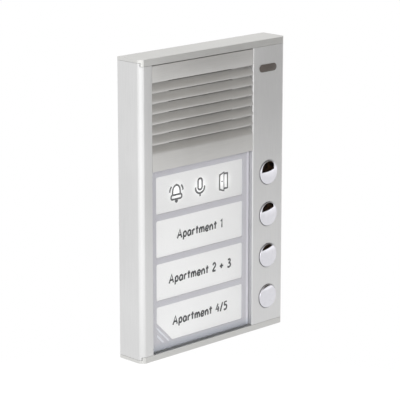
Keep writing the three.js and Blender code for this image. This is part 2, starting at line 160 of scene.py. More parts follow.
def aroundPanel(azimuth, elevation, distance):
    a, e = math.radians(azimuth), math.radians(elevation)
    return Vector((
        math.sin(a) * math.cos(e),
        -math.cos(a) * math.cos(e),
        math.sin(e),
    )) * distance


def flatSheet(name, corners, material):
    mesh = bpy.data.meshes.new(name)
    mesh.from_pydata(corners, [], [(0, 1, 2, 3)])
    mesh.materials.append(material)
    sheet = bpy.data.objects.new(name, mesh)
    scene.collection.objects.link(sheet)
    return sheet


def glowingWhite():
    material = bpy.data.materials.new("lightTable")
    material.use_nodes = True
    tree = material.node_tree
    tree.nodes.clear()
    strength = studio["surround"]
    for azimuth, distance, reach, extra in studio["glows"]:
        shift = tuple(-aroundPanel(azimuth, 0, distance) / reach)
        patch = gradient(tree, "SPHERICAL", (1 / reach, 1 / reach, 0), shift)
        strength = arithmetic(tree, "MULTIPLY_ADD", patch, extra, strength)
    glow = addNode(tree, "ShaderNodeEmission", {"Strength": strength})
    addNode(tree, "ShaderNodeOutputMaterial", {"Surface": glow.outputs[0]})
    return material


def makeRoom():
    # plain white to the camera; only reflections see the darker side
    world = bpy.data.worlds.new("studio")
    world.use_nodes = True
    tree = world.node_tree
    background = tree.nodes["Background"]
    background.inputs["Strength"].default_value = studio["surround"]
    toShade = aroundPanel(studio["shadeAzimuth"], studio["shadeElevation"], 1)
    nearness = addNode(
        tree,
        "ShaderNodeVectorMath",
        {0: addNode(tree, "ShaderNodeTexCoord").outputs["Generated"], 1: tuple(toShade)},
        operation="DOT_PRODUCT",
    )
    near, far = (math.cos(math.radians(studio[key])) for key in ("shadeCore", "shadeReach"))
    level = tint(tree, nearness.outputs["Value"], (1, 1, 1), studio["shade"], far, near)
    seen = addNode(tree, "ShaderNodeLightPath").outputs["Is Camera Ray"]
    color = addNode(tree, "ShaderNodeMix", {0: seen, 6: level, 7: (1, 1, 1, 1)}, data_type="RGBA")
    tree.links.new(color.outputs[2], background.inputs["Color"])
    return world


def makeFloor():
    reach, low = studio["floorReach"], cadLow[2] - studio["floorGap"]
    corners = [(-1, -1), (1, -1), (1, 1), (-1, 1)]
    flatSheet("floor", [(x * reach, y * reach, low) for x, y in corners], glowingWhite())


def makeCard():
    # a dark card on the right that only the chrome picks up
    dark, tree, shader = newFinish("blackCard", Specular_IOR_Level=0.0)
    folds = noise(tree, 45)
    feed(tree, shader, Base_Color=tint(tree, folds, *studio["cardTones"], 0.45, 0.75))
    middle = aroundPanel(studio["cardAzimuth"], 0, studio["cardDistance"])
    middle += Vector(studio["cardShift"])
    side = Vector((-middle.y, middle.x, 0)).normalized() * studio["cardWidth"] / 2
    heights = ("cardBottom", "cardTop", "cardSlant")
    bottom, top, slant = (Vector((0, 0, studio[key])) for key in heights)
    card = flatSheet(
        "blackCard",
        [
            middle - side + bottom - slant,
            middle + side + bottom,
            middle + side + top,
            middle - side + top,
        ],
        dark,
    )
    card.visible_camera = False


def makeLights():
    for name, azimuth, elevation, distance, width, height, power in studio["lights"]:
        data = bpy.data.lights.new(name, "AREA")
        data.shape = "RECTANGLE"
        data.size, data.size_y = width, height
        data.energy = power
        light = bpy.data.objects.new(name, data)
        light.location = aroundPanel(azimuth, elevation, distance)
        light.rotation_mode = "QUATERNION"
        light.rotation_quaternion = (-light.location).to_track_quat("-Z", "Y")
        light.visible_camera = False
        scene.collection.objects.link(light)


# Materials. Each finish is a Principled shader with its pattern in object space.
def newFinish(name, **sockets):
    material = bpy.data.materials.new(name)
    material.use_nodes = True
    tree = material.node_tree
    shader = tree.nodes["Principled BSDF"]
    for socket, value in sockets.items():
        shader.inputs[socket.replace("_", " ")].default_value = value
    return material, tree, shader


def addNode(tree, kind, inputs=None, **settings):
    node = tree.nodes.new(kind)
    for key, value in settings.items():
        setattr(node, key, value)
    for socket, value in (inputs or {}).items():
        if isinstance(value, bpy.types.NodeSocket):
            tree.links.new(value, node.inputs[socket])
        else:
            node.inputs[socket].default_value = value
    return node


def feed(tree, shader, **sources):
    # links each source to the shader's socket of that name
    for socket, source in sources.items():
        tree.links.new(source, shader.inputs[socket.replace("_", " ")])


def objectSpace(tree, scale, shift=(0, 0, 0)):
    coords = addNode(tree, "ShaderNodeTexCoord").outputs["Object"]
    inputs = {"Vector": coords, "Scale": scale, "Location": shift}
    return addNode(tree, "ShaderNodeMapping", inputs).outputs["Vector"]


def noise(tree, size, stretch=(1, 1, 1), detail=3.0):
    # size is one blob's width in millimetres
    scale = [1 / (size * mm * s) for s in stretch]
    texture = addNode(tree, "ShaderNodeTexNoise", {
        "Vector": objectSpace(tree, scale),
        "Scale": 1.0,
        "Detail": detail,
        "Roughness": 0.55,
    })
    return texture.outputs["Fac"]


def cells(tree, size, output="Distance"):
    spot = objectSpace(tree, [1 / (size * mm)] * 3)
    return addNode(tree, "ShaderNodeTexVoronoi", {"Vector": spot, "Scale": 1.0}).outputs[output]


def gradient(tree, kind, scale, shift):
    inputs = {"Vector": objectSpace(tree, scale, shift)}
    return addNode(tree, "ShaderNodeTexGradient", inputs, gradient_type=kind).outputs["Fac"]


def remap(tree, value, low, high, fromLow=0.3, fromHigh=0.7):
    node = addNode(tree, "ShaderNodeMapRange", {
        "Value": value,
        "From Min": fromLow,
        "From Max": fromHigh,
        "To Min": low,
        "To Max": high,
    })
    return node.outputs["Result"]


def tint(tree, value, darker, lighter, fromLow=0.3, fromHigh=0.7):
    ramp = addNode(tree, "ShaderNodeValToRGB", {"Fac": value})
    stops = ((fromLow, darker), (fromHigh, lighter))
    for element, (position, color) in zip(ramp.color_ramp.elements, stops):
        element.position = position
        element.color = (*color, 1)
    return ramp.outputs["Color"]


def along(tree, axis):
    # the place along one of the object's axes, in millimetres
    scaled = objectSpace(tree, (1 / mm, 1 / mm, 1 / mm))
    return addNode(tree, "ShaderNodeSeparateXYZ", {0: scaled}).outputs[axis]


def arithmetic(tree, operation, *values):
    return addNode(tree, "ShaderNodeMath", dict(enumerate(values)), operation=operation).outputs[0]


def scaledColor(tree, color, level):
    node = addNode(tree, "ShaderNodeVectorMath", {0: color, "Scale": level}, operation="SCALE")
    return node.outputs[0]


def relief(tree, shader, height, depth, strength):
    # depth is the relief's full height in millimetres
    bump = addNode(tree, "ShaderNodeBump", {
        "Height": height,
        "Distance": depth * mm,
        "Strength": strength,
    })
    feed(tree, shader, Normal=bump.outputs["Normal"])


def mixed(tree, first, second, amount):
    difference = arithmetic(tree, "SUBTRACT", first, second)
    return arithmetic(tree, "ADD", second, arithmetic(tree, "MULTIPLY", difference, amount))


scene.view_settings.view_transform = "Standard"
scene.world = makeRoom()
makeCamera()
makeFloor()
makeCard()
makeLights()
print("camera and studio made")


# The speaker panel's louvres; its finish reads them too.
louvre = {
    "teeth": 7,
    "pitch": 6.34,
    "first": 79.3,
    "deep": 2.7,
    "flat": 1.05,
    "crest": 0.6,
    "swell": 1.4,  # how round the ramps are
    "back": 4.8,
    "slotHalf": 27.0,
    "slotHigh": 1.0,
    "speakerX": -10.1,
    "slotFront": 1.5,
    "slotDrop": 0.1,  # how far a slot's top is under the louvre's edge
    "sideGaps": (0.15, 0.2),
    "rampSteps": 8,
    "edge": 0.16,
    "paintedShade": 0.16,  # painted shade: how much darker the metal is under each edge, and over which part of the pitch
    "paintedShadeReach": (0.1, 0.38),
}


def grooveShade(tree, color):
    # painted shade just below each louvre's edge, where the edge keeps the light off
    first, pitch, teeth = louvre["first"], louvre["pitch"], louvre["teeth"]
    phase = arithmetic(tree, "MULTIPLY_ADD", along(tree, "Z"), -1 / pitch, first / pitch)
    above = arithmetic(tree, "GREATER_THAN", phase, 0.0)
    below = arithmetic(tree, "LESS_THAN", phase, float(teeth))
    loss = remap(tree, arithmetic(tree, "FRACT", phase), -louvre["paintedShade"], 0, *louvre["paintedShadeReach"])
    inside = arithmetic(tree, "MULTIPLY", above, below)
    return scaledColor(tree, color, arithmetic(tree, "MULTIPLY_ADD", loss, inside, 1.0))


def paintedCornerHighlight(tree, color):
    # painted highlight: the caps are brighter on their outer corners and sides than on their flat
    # faces
    across = arithmetic(tree, "ABSOLUTE", along(tree, "X"))
    height = arithmetic(tree, "ABSOLUTE", along(tree, "Z"))
    outer = remap(tree, across, 0.0, 0.09, halfWidth - 3.1, halfWidth - 2.8)
    side = remap(tree, height, 1.0, 0.0, halfHeight - 0.2, halfHeight - 0.1)
    return scaledColor(tree, color, arithmetic(tree, "MULTIPLY_ADD", outer, side, 1.0))


def satinAluminium(name, darker, lighter, grain=(1, 1, 40), roughness=(0.48, 0.54), touch=None):
    # bead-blasted and anodised, with faint drawing lines along the extrusion
    material, tree, shader = newFinish(name, Metallic=1.0)
    beads = noise(tree, 0.22, detail=2.0)
    lines = noise(tree, 0.35, grain)
    clouds = noise(tree, 38, detail=2.0)
    tone = mixed(tree, mixed(tree, beads, lines, 0.45), clouds, 0.72)
    color = tint(tree, tone, darker, lighter)
    if touch:
        color = touch(tree, color)
    feed(tree, shader, Base_Color=color, Roughness=remap(tree, lines, *roughness))
    relief(tree, shader, mixed(tree, beads, lines, 0.6), 0.012, 0.5)
    return material


def chromePlate():
    material, tree, shader = newFinish("chromePlate", Metallic=1.0)
    haze = noise(tree, 3.0, detail=4.0)
    scuffs = noise(tree, 0.12, (1, 1, 14), detail=2.0)
    tone = tint(tree, haze, (0.665, 0.66, 0.70), (0.70, 0.695, 0.735))
    feed(tree, shader, Base_Color=tone, Roughness=remap(tree, scuffs, 0.025, 0.075))
    relief(tree, shader, haze, 0.004, 0.12)
    return material


def mouldedPlastic(name, color, roughness, spread, size=0.35, depth=0.01):
    material, tree, shader = newFinish(name)
    clouds = noise(tree, 12, detail=2.0)
    darker, lighter = shades(color, 1 - spread, 1 + spread)
    feed(
        tree,
        shader,
        Base_Color=tint(tree, clouds, darker, lighter),
        Roughness=remap(tree, clouds, roughness - 0.06, roughness + 0.06),
    )
    relief(tree, shader, cells(tree, size), depth, 0.4)
    return material


def shades(color, *levels):
    return [[min(1.0, c * level) for c in color] for level in levels]


frameColourAndShade = {
    "upper": (0.48, 0.472, 0.51),
    "middle": (0.55, 0.543, 0.58),
    # lower: a bluish painted shade along the frame's bottom edge, over the gap above the bottom lip
    "lower": (0.41, 0.447, 0.512),
    "stops": (20, -70, -83.5, -90),  # the heights where the colours turn
    "paintedLightRight": 1.45,  # painted light: the bar beside the buttons is paler, lifted out of the channel wall's shadow
    "paintedLightRightSpan": (30.2, 31.6),
}


def frameGrey():
    # lavender grey that lightens downwards and deepens again at the frame's bottom edge, in a bluish
    # painted shade over the gap above the bottom lip; the bar beside the buttons gets painted light
    material, tree, shader = newFinish("frameGrey", Specular_IOR_Level=0.4)
    grain = noise(tree, 0.8)
    height = arithmetic(tree, "MULTIPLY_ADD", grain, 1.2, along(tree, "Z"))
    high, middle, low, end = frameColourAndShade["stops"]
    rise = remap(tree, height, 0.0, 1.0, middle, high)
    upperPart = tint(tree, rise, frameColourAndShade["middle"], frameColourAndShade["upper"], 0.0, 1.0)
    color = addNode(tree, "ShaderNodeMix", {
        0: remap(tree, height, 0.0, 1.0, end, low),
        6: (*frameColourAndShade["lower"], 1),
        7: upperPart,
    }, data_type="RGBA")
    # painted light: the frame grows paler towards its right edge, against the channel wall's shadow
    lift = remap(tree, along(tree, "X"), 1.0, frameColourAndShade["paintedLightRight"], *frameColourAndShade["paintedLightRightSpan"])
    feed(
        tree,
        shader,
        Base_Color=scaledColor(tree, color.outputs[2], lift),
        Roughness=remap(tree, grain, 0.38, 0.48),
    )
    relief(tree, shader, cells(tree, 0.25), 0.006, 0.4)
    return material


def clearAcrylic():
    # a clear sheet: it mirrors by Fresnel and lets the rest through
    color = (0.93, 0.95, 0.98, 1)
    material, tree, shader = newFinish("clearAcrylic", Metallic=1.0, Base_Color=color)
    facing = addNode(tree, "ShaderNodeLayerWeight", {"Blend": 0.5}).outputs["Facing"]
    grazing = arithmetic(tree, "POWER", facing, 5.0)
    dust = remap(tree, noise(tree, 0.5, detail=4.0), 0.035, 0.055, 0.45, 0.8)
    feed(
        tree,
        shader,
        Alpha=arithmetic(tree, "MULTIPLY_ADD", grazing, 0.9, dust),
        Roughness=remap(tree, noise(tree, 9, detail=4.0), 0.03, 0.09),
    )
    return material


def galvanisedSheet():
    material, tree, shader = newFinish("galvanisedSheet", Metallic=1.0)
    spangle = addNode(tree, "ShaderNodeSeparateColor", {0: cells(tree, 5.5, "Color")}).outputs[0]
    streaks = noise(tree, 0.5, (30, 1, 1))
    tone = mixed(tree, spangle, streaks, 0.45)
    feed(
        tree,
        shader,
        Base_Color=tint(tree, tone, (0.40, 0.42, 0.44), (0.62, 0.64, 0.66), 0.15, 0.85),
        Roughness=remap(tree, spangle, 0.34, 0.5, 0.1, 0.9),
    )
    relief(tree, shader, streaks, 0.01, 0.4)
    return material


def zincSteel():
    material, tree, shader = newFinish("zincSteel", Metallic=1.0)
    drawn = noise(tree, 0.12, (1, 1, 8))
    bloom = tint(tree, noise(tree, 1.6), (0.48, 0.49, 0.5), (0.66, 0.66, 0.65))
    feed(tree, shader, Base_Color=bloom, Roughness=remap(tree, drawn, 0.22, 0.38))
    relief(tree, shader, drawn, 0.006, 0.4)
    return material


def blackRubber():
    material, tree, shader = newFinish("blackRubber", Specular_IOR_Level=0.35)
    bloom = noise(tree, 6, detail=4.0)
    pores = noise(tree, 0.4, detail=4.0)
    darker, lighter = shades((0.014, 0.014, 0.014), 0.8, 1.5)
    feed(
        tree,
        shader,
        Base_Color=tint(tree, bloom, darker, lighter),
        Roughness=remap(tree, pores, 0.74, 0.92),
    )
    relief(tree, shader, pores, 0.05, 0.5)
    return material


def openFoam():
    material, tree, shader = newFinish("openFoam", Specular_IOR_Level=0.2, Roughness=0.95)
    pores = cells(tree, 0.55)
    tone = tint(tree, pores, (0.006, 0.006, 0.006), (0.05, 0.05, 0.052), 0.1, 0.6)
    feed(tree, shader, Base_Color=tone)
    relief(tree, shader, pores, 0.3, 0.8)
    return material


def pressedPaper():
    material, tree, shader = newFinish("pressedPaper", Specular_IOR_Level=0.25)
    fibres = noise(tree, 0.5, (3, 1, 1), detail=5.0)
    tone = tint(tree, fibres, (0.010, 0.009, 0.008), (0.035, 0.032, 0.028))
    feed(tree, shader, Base_Color=tone, Roughness=remap(tree, fibres, 0.78, 0.95))
    relief(tree, shader, fibres, 0.08, 0.6)
    return material


def wovenMesh():
    material, tree, shader = newFinish("wovenMesh", Metallic=0.3)
    wear = noise(tree, 1.2)
    tone = tint(tree, wear, (0.016, 0.016, 0.015), (0.045, 0.044, 0.042))
    feed(tree, shader, Base_Color=tone, Roughness=remap(tree, wear, 0.55, 0.8))
    return material


def circuitBoard():
    # copper tracks under solder mask
    material, tree, shader = newFinish("circuitBoard", Specular_IOR_Level=0.5)
    tracks = addNode(tree, "ShaderNodeTexBrick", {
        "Vector": objectSpace(tree, (1 / mm, 1 / mm, 1 / mm), (0.3, 0, 0.2)),
        "Scale": 0.16,
        "Mortar Size": 0.03,
        "Color1": (0.012, 0.10, 0.045, 1),
        "Color2": (0.014, 0.12, 0.055, 1),
        "Mortar": (0.03, 0.19, 0.08, 1),
    })
    gloss = remap(tree, noise(tree, 2.0), 0.28, 0.42)
    feed(tree, shader, Base_Color=tracks.outputs["Color"], Roughness=gloss)
    relief(tree, shader, tracks.outputs["Fac"], 0.03, 0.5)
    return material


def ledResin():
    glow = (1.0, 0.97, 0.9, 1)
    material, tree, shader = newFinish("ledResin", Emission_Color=glow, Roughness=0.3)
    phosphor = noise(tree, 0.3)
    tone = tint(tree, phosphor, (0.85, 0.78, 0.45), (0.95, 0.92, 0.75))
    feed(tree, shader, Base_Color=tone, Emission_Strength=remap(tree, phosphor, 0.5, 0.9))
    return material


labelGlow = {
    "film": (0.80, 0.80, 0.797),
    "strengths": (0.12, 0.065),  # of the name films, at the two heights
    "heights": (-85, -10),
    "symbolStrength": 0.015,
    "haloStrength": 0.6,
    "haloRadius": 9.6,
    "drift": 0.15,  # how much the strength wanders, either way
}


def labelFilm(name, halos=()):
    # white film lit from behind; a halo is a brighter round patch about (x, z)
    material, tree, shader = newFinish(name, Roughness=0.55, Emission_Color=(1.0, 1.0, 1.0, 1))
    darker, lighter = shades(labelGlow["film"], 0.97, 1.03)
    clouds, drift = noise(tree, 30, detail=1.0), labelGlow["drift"]
    if halos:
        level = labelGlow["symbolStrength"]
        strength = remap(tree, clouds, level * (1 - drift), level * (1 + drift))
    else:
        level = remap(tree, along(tree, "Z"), *labelGlow["strengths"], *labelGlow["heights"])
        strength = arithmetic(tree, "MULTIPLY", remap(tree, clouds, 1 - drift, 1 + drift), level)
    scale = 1 / (labelGlow["haloRadius"] * mm)
    for x, z in halos:
        shift = (-x * mm * scale, 0, -z * mm * scale)
        ball = gradient(tree, "QUADRATIC_SPHERE", (scale, 0, scale), shift)
        strength = arithmetic(tree, "MULTIPLY_ADD", ball, labelGlow["haloStrength"], strength)
    paper = tint(tree, noise(tree, 0.25), darker, lighter)
    feed(tree, shader, Base_Color=paper, Emission_Strength=strength)
    return material


def printedInk(name, color):
    material, tree, shader = newFinish(name, Specular_IOR_Level=0.3)
    speckle = noise(tree, 0.18)
    tone = tint(tree, speckle, *shades(color, 0.8, 1.3))
    feed(tree, shader, Base_Color=tone, Roughness=remap(tree, speckle, 0.5, 0.75))
    return material


symbolSpots = [(-30.0, 8.4), (-9.8, 8.4), (10.6, 8.4)]  # x, z
finish = {
    "profile": satinAluminium("satinProfile", (0.63, 0.63, 0.63), (0.745, 0.745, 0.745)),
    "cap": satinAluminium(
        "satinCap",
        (0.552, 0.55, 0.537),
        (0.672, 0.67, 0.656),
        grain=(40, 1, 1),
        # the caps' corners get a painted highlight
        touch=paintedCornerHighlight,
    ),
    "louvre": satinAluminium(
        "satinLouvre",
        (0.52, 0.514, 0.502),
        (0.668, 0.661, 0.648),
        grain=(40, 1, 1),
        roughness=(0.5, 0.6),
        touch=grooveShade,
    ),
    "chrome": chromePlate(),
    "acrylic": clearAcrylic(),
    "frameGrey": frameGrey(),
    "film": labelFilm("labelFilm"),
    "symbolFilm": labelFilm("symbolFilm", symbolSpots),
    "symbolInk": printedInk("symbolInk", (0.06, 0.06, 0.06)),
    "nameInk": printedInk("nameInk", (0.014, 0.014, 0.014)),
    "rib": mouldedPlastic("paleRib", (0.77, 0.78, 0.83), 0.4, 0.03, 0.3, 0.006),
    "opal": mouldedPlastic("opalDiffuser", (0.82, 0.82, 0.80), 0.45, 0.02, 0.4, 0.006),
    "badge": mouldedPlastic("darkBadge", (0.11, 0.095, 0.085), 0.4, 0.2, 0.3, 0.02),
    "greyPlastic": mouldedPlastic("greyPlastic", (0.26, 0.27, 0.28), 0.5, 0.05),
    "blackPlastic": mouldedPlastic("blackPlastic", (0.012, 0.012, 0.013), 0.45, 0.2),
    "terminal": mouldedPlastic("terminalGreen", (0.03, 0.21, 0.09), 0.42, 0.06),
    "rubber": blackRubber(),
    "foam": openFoam(),
    "paper": pressedPaper(),
    "mesh": wovenMesh(),
    "board": circuitBoard(),
    "led": ledResin(),
    "steel": zincSteel(),
    "galvanised": galvanisedSheet(),
}
print("materials made")


# Mesh helpers.
def paint(piece, material):
    piece.data.materials.clear()
    piece.data.materials.append(material)


def newObject(name, data, material=None):
    piece = bpy.data.objects.new(name, data)
    scene.collection.objects.link(piece)
    if material:
        paint(piece, material)
    return piece


def fromBmesh(name, bm, material=None):
    mesh = bpy.data.meshes.new(name)
    writeMesh(mesh, bm)
    return newObject(name, mesh, material)


def writeMesh(mesh, bm, merge=True):
    # the points are merged and the faces turned outwards first
    if merge:
        bmesh.ops.remove_doubles(bm, verts=bm.verts, dist=1e-7)
    bmesh.ops.recalc_face_normals(bm, faces=bm.faces)
    bm.to_mesh(mesh)
    bm.free()


def faceOutwards(piece, merge=True):
    bm = bmesh.new()
    bm.from_mesh(piece.data)
    writeMesh(piece.data, bm, merge)


def settle(piece):
    # what the modifiers make becomes the piece's own mesh
    depsgraph = bpy.context.evaluated_depsgraph_get()
    mesh = bpy.data.meshes.new_from_object(piece.evaluated_get(depsgraph))
    mesh.name = piece.name
    if piece.type == "MESH":
        piece.modifiers.clear()
        piece.data = mesh
        return piece
    name = piece.name
    bpy.data.objects.remove(piece)
    return newObject(name, mesh)


def smoothed(piece, angle=35):
    piece.data.shade_smooth()
    piece.data.set_sharp_from_angle(angle=math.radians(angle))
    return piece


def roundEdges(piece, width):
    bevel = piece.modifiers.new("edges", "BEVEL")
    bevel.width = width * mm
    bevel.segments = 2
    bevel.limit_method = "ANGLE"
    bevel.angle_limit = math.radians(20)
    bevel.use_clamp_overlap = True
    bevel.harden_normals = False
    return smoothed(settle(piece))


def combine(piece, others, operation):
    for n, other in enumerate(others):
        step = piece.modifiers.new(f"step{n}", "BOOLEAN")
        step.operation = operation
        step.object = other
        step.solver = "EXACT"
    settle(piece)
    for other in others:
        bpy.data.objects.remove(other)
    return piece


def skin(bm, rings):
    # faces between each ring of points and the next; a ring of one point is a pole
    for first, second in zip(rings, rings[1:]):
        count = max(len(first), len(second))
        for n in range(count):
            after = (n + 1) % count
            corners = [
                first[n % len(first)],
                first[after % len(first)],
                second[after % len(second)],
                second[n % len(second)],
            ]
            corners = list(dict.fromkeys(corners))
            if len(corners) > 2:
                bm.faces.new(corners)


def loft(name, lowRing, highRing, material=None):
    bm = bmesh.new()
    rings = [[bm.verts.new(spot) for spot in ring] for ring in (lowRing, highRing)]
    skin(bm, rings)
    for ring in rings:
        bm.faces.new(ring)
    return fromBmesh(name, bm, material)


def prism(name, outline, low, high, upright=True, material=None):
    # an upright prism has its outline in x, d; the other kind has it in x, z and runs along d
    ends = [
        [place(u, v, w) if upright else place(u, w, v) for u, v in outline]
        for w in (low, high)
    ]
    return loft(name, *ends, material)


def taper(name, wide, narrow, low, high):
    return loft(name, [place(u, v, low) for u, v in wide], [place(u, v, high) for u, v in narrow])


def block(name, x, d, z):
    return prism(name, [(x[0], z[0]), (x[1], z[0]), (x[1], z[1]), (x[0], z[1])], *d, upright=False)


def circle(x, z, radius, count=64):
    return [
        (x + radius * math.cos(math.tau * n / count), z + radius * math.sin(math.tau * n / count))
        for n in range(count)
    ]


def roundedBox(left, right, bottom, top, radius, steps=6):
    points = []
    corners = [
        (right - radius, bottom + radius, -90),
        (right - radius, top - radius, 0),
        (left + radius, top - radius, 90),
        (left + radius, bottom + radius, 180),
    ]
    for x, z, start in corners:
        for n in range(steps + 1):
            a = math.radians(start + 90 * n / steps)
            points.append((x + radius * math.cos(a), z + radius * math.sin(a)))
    return points


def plate(name, loops, front, back, edge, material, resolution=2):
    # a flat plate with round edges; the first loop is its outline and the rest are openings
    curve = bpy.data.curves.new(name, "CURVE")
    curve.dimensions = "2D"
    curve.fill_mode = "BOTH"
    curve.extrude = ((back - front) / 2 - edge) * mm
    curve.bevel_depth = edge * mm
    curve.bevel_resolution = resolution
    curve.offset = -edge * mm
    for loop in loops:
        spline = curve.splines.new("POLY")
        spline.points.add(len(loop) - 1)
        for point, (x, z) in zip(spline.points, loop):
            point.co = (x * mm, z * mm, 0, 1)
        spline.use_cyclic_u = True
    piece = settle(newObject(name, curve))
    turn = Matrix.Rotation(math.radians(90), 4, "X")
    piece.data.transform(Matrix.Translation(place(0, (front + back) / 2, 0)) @ turn)
    faceOutwards(piece)
    paint(piece, material)
    return smoothed(piece, 40)


def turned(name, outline, x, z, material):
    # the outline is of (radius, d)
    sides = 96
    bm = bmesh.new()
    rings = []
    for radius, d in outline:
        if radius < 1e-6:
            rings.append([bm.verts.new(place(x, d, z))])
        else:
            rings.append([bm.verts.new(place(u, d, v)) for u, v in circle(x, z, radius, sides)])
    skin(bm, rings)
    return smoothed(fromBmesh(name, bm, material), 30)


def joined(name, pieces):
    bm = bmesh.new()
    for piece in pieces:
        bm.from_mesh(piece.data)
    mesh = bpy.data.meshes.new(name)
    for material in pieces[0].data.materials:
        mesh.materials.append(material)
    bm.to_mesh(mesh)
    bm.free()
    for piece in pieces:
        bpy.data.objects.remove(piece)
    return newObject(name, mesh)


def finishPiece(piece, body, slot, *nodes):
    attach(piece, body)
    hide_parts(*nodes)


# Geometry Nodes helpers.
def newTree(name, **sockets):
    tree = bpy.data.node_groups.new(name, "GeometryNodeTree")
    tree.interface.new_socket("Geometry", in_out="INPUT", socket_type="NodeSocketGeometry")
    for label, kind in sockets.items():
        tree.interface.new_socket(label, in_out="INPUT", socket_type=f"NodeSocket{kind}")
    tree.interface.new_socket("Geometry", in_out="OUTPUT", socket_type="NodeSocketGeometry")
    given = tree.nodes.new("NodeGroupInput")
    made = tree.nodes.new("NodeGroupOutput")
    return tree, given.outputs, made.inputs


def endTree(tree, geometry, made, material):
    real = addNode(tree, "GeometryNodeRealizeInstances", {"Geometry": geometry})
    inputs = {"Geometry": real.outputs[0], "Material": material}
    tree.links.new(addNode(tree, "GeometryNodeSetMaterial", inputs).outputs[0], made["Geometry"])


def grow(name, tree, points=(), **values):
    # the tree's result as a mesh; the modifier's inputs are set by their identifiers
    mesh = bpy.data.meshes.new(name)
    mesh.from_pydata([tuple(p) for p in points], [], [])
    host = newObject(name, mesh)
    modifier = host.modifiers.new(name, "NODES")
    modifier.node_group = tree
    for item in tree.interface.items_tree:
        if item.item_type == "SOCKET" and item.in_out == "INPUT" and item.name in values:
            modifier[item.identifier] = values[item.name]
    return settle(host)


def partOf(tree, socket):
    return addNode(tree, "GeometryNodeObjectInfo", {"Object": socket}).outputs["Geometry"]


def copiesOn(tree, points, part):
    # an instance of the part at each point
    inputs = {"Points": points, "Instance": part}
    return addNode(tree, "GeometryNodeInstanceOnPoints", inputs).outputs[0]


def joinedWith(tree, *parts):
    node = addNode(tree, "GeometryNodeJoinGeometry")
    for part in parts:
        tree.links.new(part, node.inputs[0])
    return node.outputs[0]


def rowOf(tree, count, step, start=(0, 0, 0)):
    inputs = {"Count": count, "Offset": step, "Start Location": start}
    return addNode(tree, "GeometryNodeMeshLine", inputs).outputs[0]


def vectorOf(tree, **parts):
    return addNode(tree, "ShaderNodeCombineXYZ", parts).outputs[0]


def atEachPoint(name, material):
    # a copy of Part at each point
    tree, given, made = newTree(name, Part="Object")
    endTree(tree, copiesOn(tree, given["Geometry"], partOf(tree, given["Part"])), made, material)
    return tree


# The extruded profile and its end caps.
profile = {
    "cornerAcross": 3.0,
    "cornerDeep": 2.9,
    "cornerBulge": 0.36,
    "wall": 1.8,
    "channelDeep": 5.2,
    "webThick": 1.6,
    "edgeRound": 0.85,  # the column's left edge
    "seam": 0.11,
    "topLip": 4.2,
    "bottomLip": 3.8,
    "lipDeep": 1.2,
    "lipGap": 0.35,
    "band": 2.0,
    "holeGap": 0.3,
    "edge": 0.14,
    "channelGap": 0.25,
    "boss": (6.0, 3.0),  # how far a screw boss reaches in, and half its depth
    "fillet": 1.5,
    "screwBore": 1.3,
    "windowOpening": ((-49, 29.5), (-87, 21)),  # x, z
    "speakerOpening": (57, 18.5),  # z, radius
}
louvreLow, louvreHigh = boxIn("louvre_panel")
channelLeft = louvreLow[0] - profile["channelGap"]
channelRight = louvreHigh[0] + profile["channelGap"]
buttonSpots = [middleOf(f"call_button_cap_{n}")[::2] for n in range(1, 5)]  # x, z
buttonLow, buttonHigh = boxIn("call_button_cap_4")
buttonRadius = (buttonHigh[0] - buttonLow[0]) / 2


def cornerArc(fromDepth=None):
    # the front left corner as (x, d): a bulged chamfer from the side face to the front,
    # or only its part in front of fromDepth
    across, deep, bulge = profile["cornerAcross"], profile["cornerDeep"], profile["cornerBulge"]
    chord = math.hypot(across, deep)
    steps = 14
    points = []
    for n in range(steps + 1):
        t = n / steps
        out = 4 * bulge * t * (1 - t)
        points.append((
            -halfWidth + across * t - out * deep / chord,
            deep * (1 - t) - out * across / chord,
        ))
    if fromDepth is None:
        return points
    return [point for point in points if point[1] < fromDepth]


def flipped(points):
    return [(-x, d) for x, d in reversed(points)]


def columnEdge():
    radius, steps = profile["edgeRound"], 8
    points = []
    for n in range(steps + 1):
        a = math.radians(90 * n / steps)
        points.append((channelRight + radius * (1 - math.cos(a)), radius * (1 - math.sin(a))))
    return points


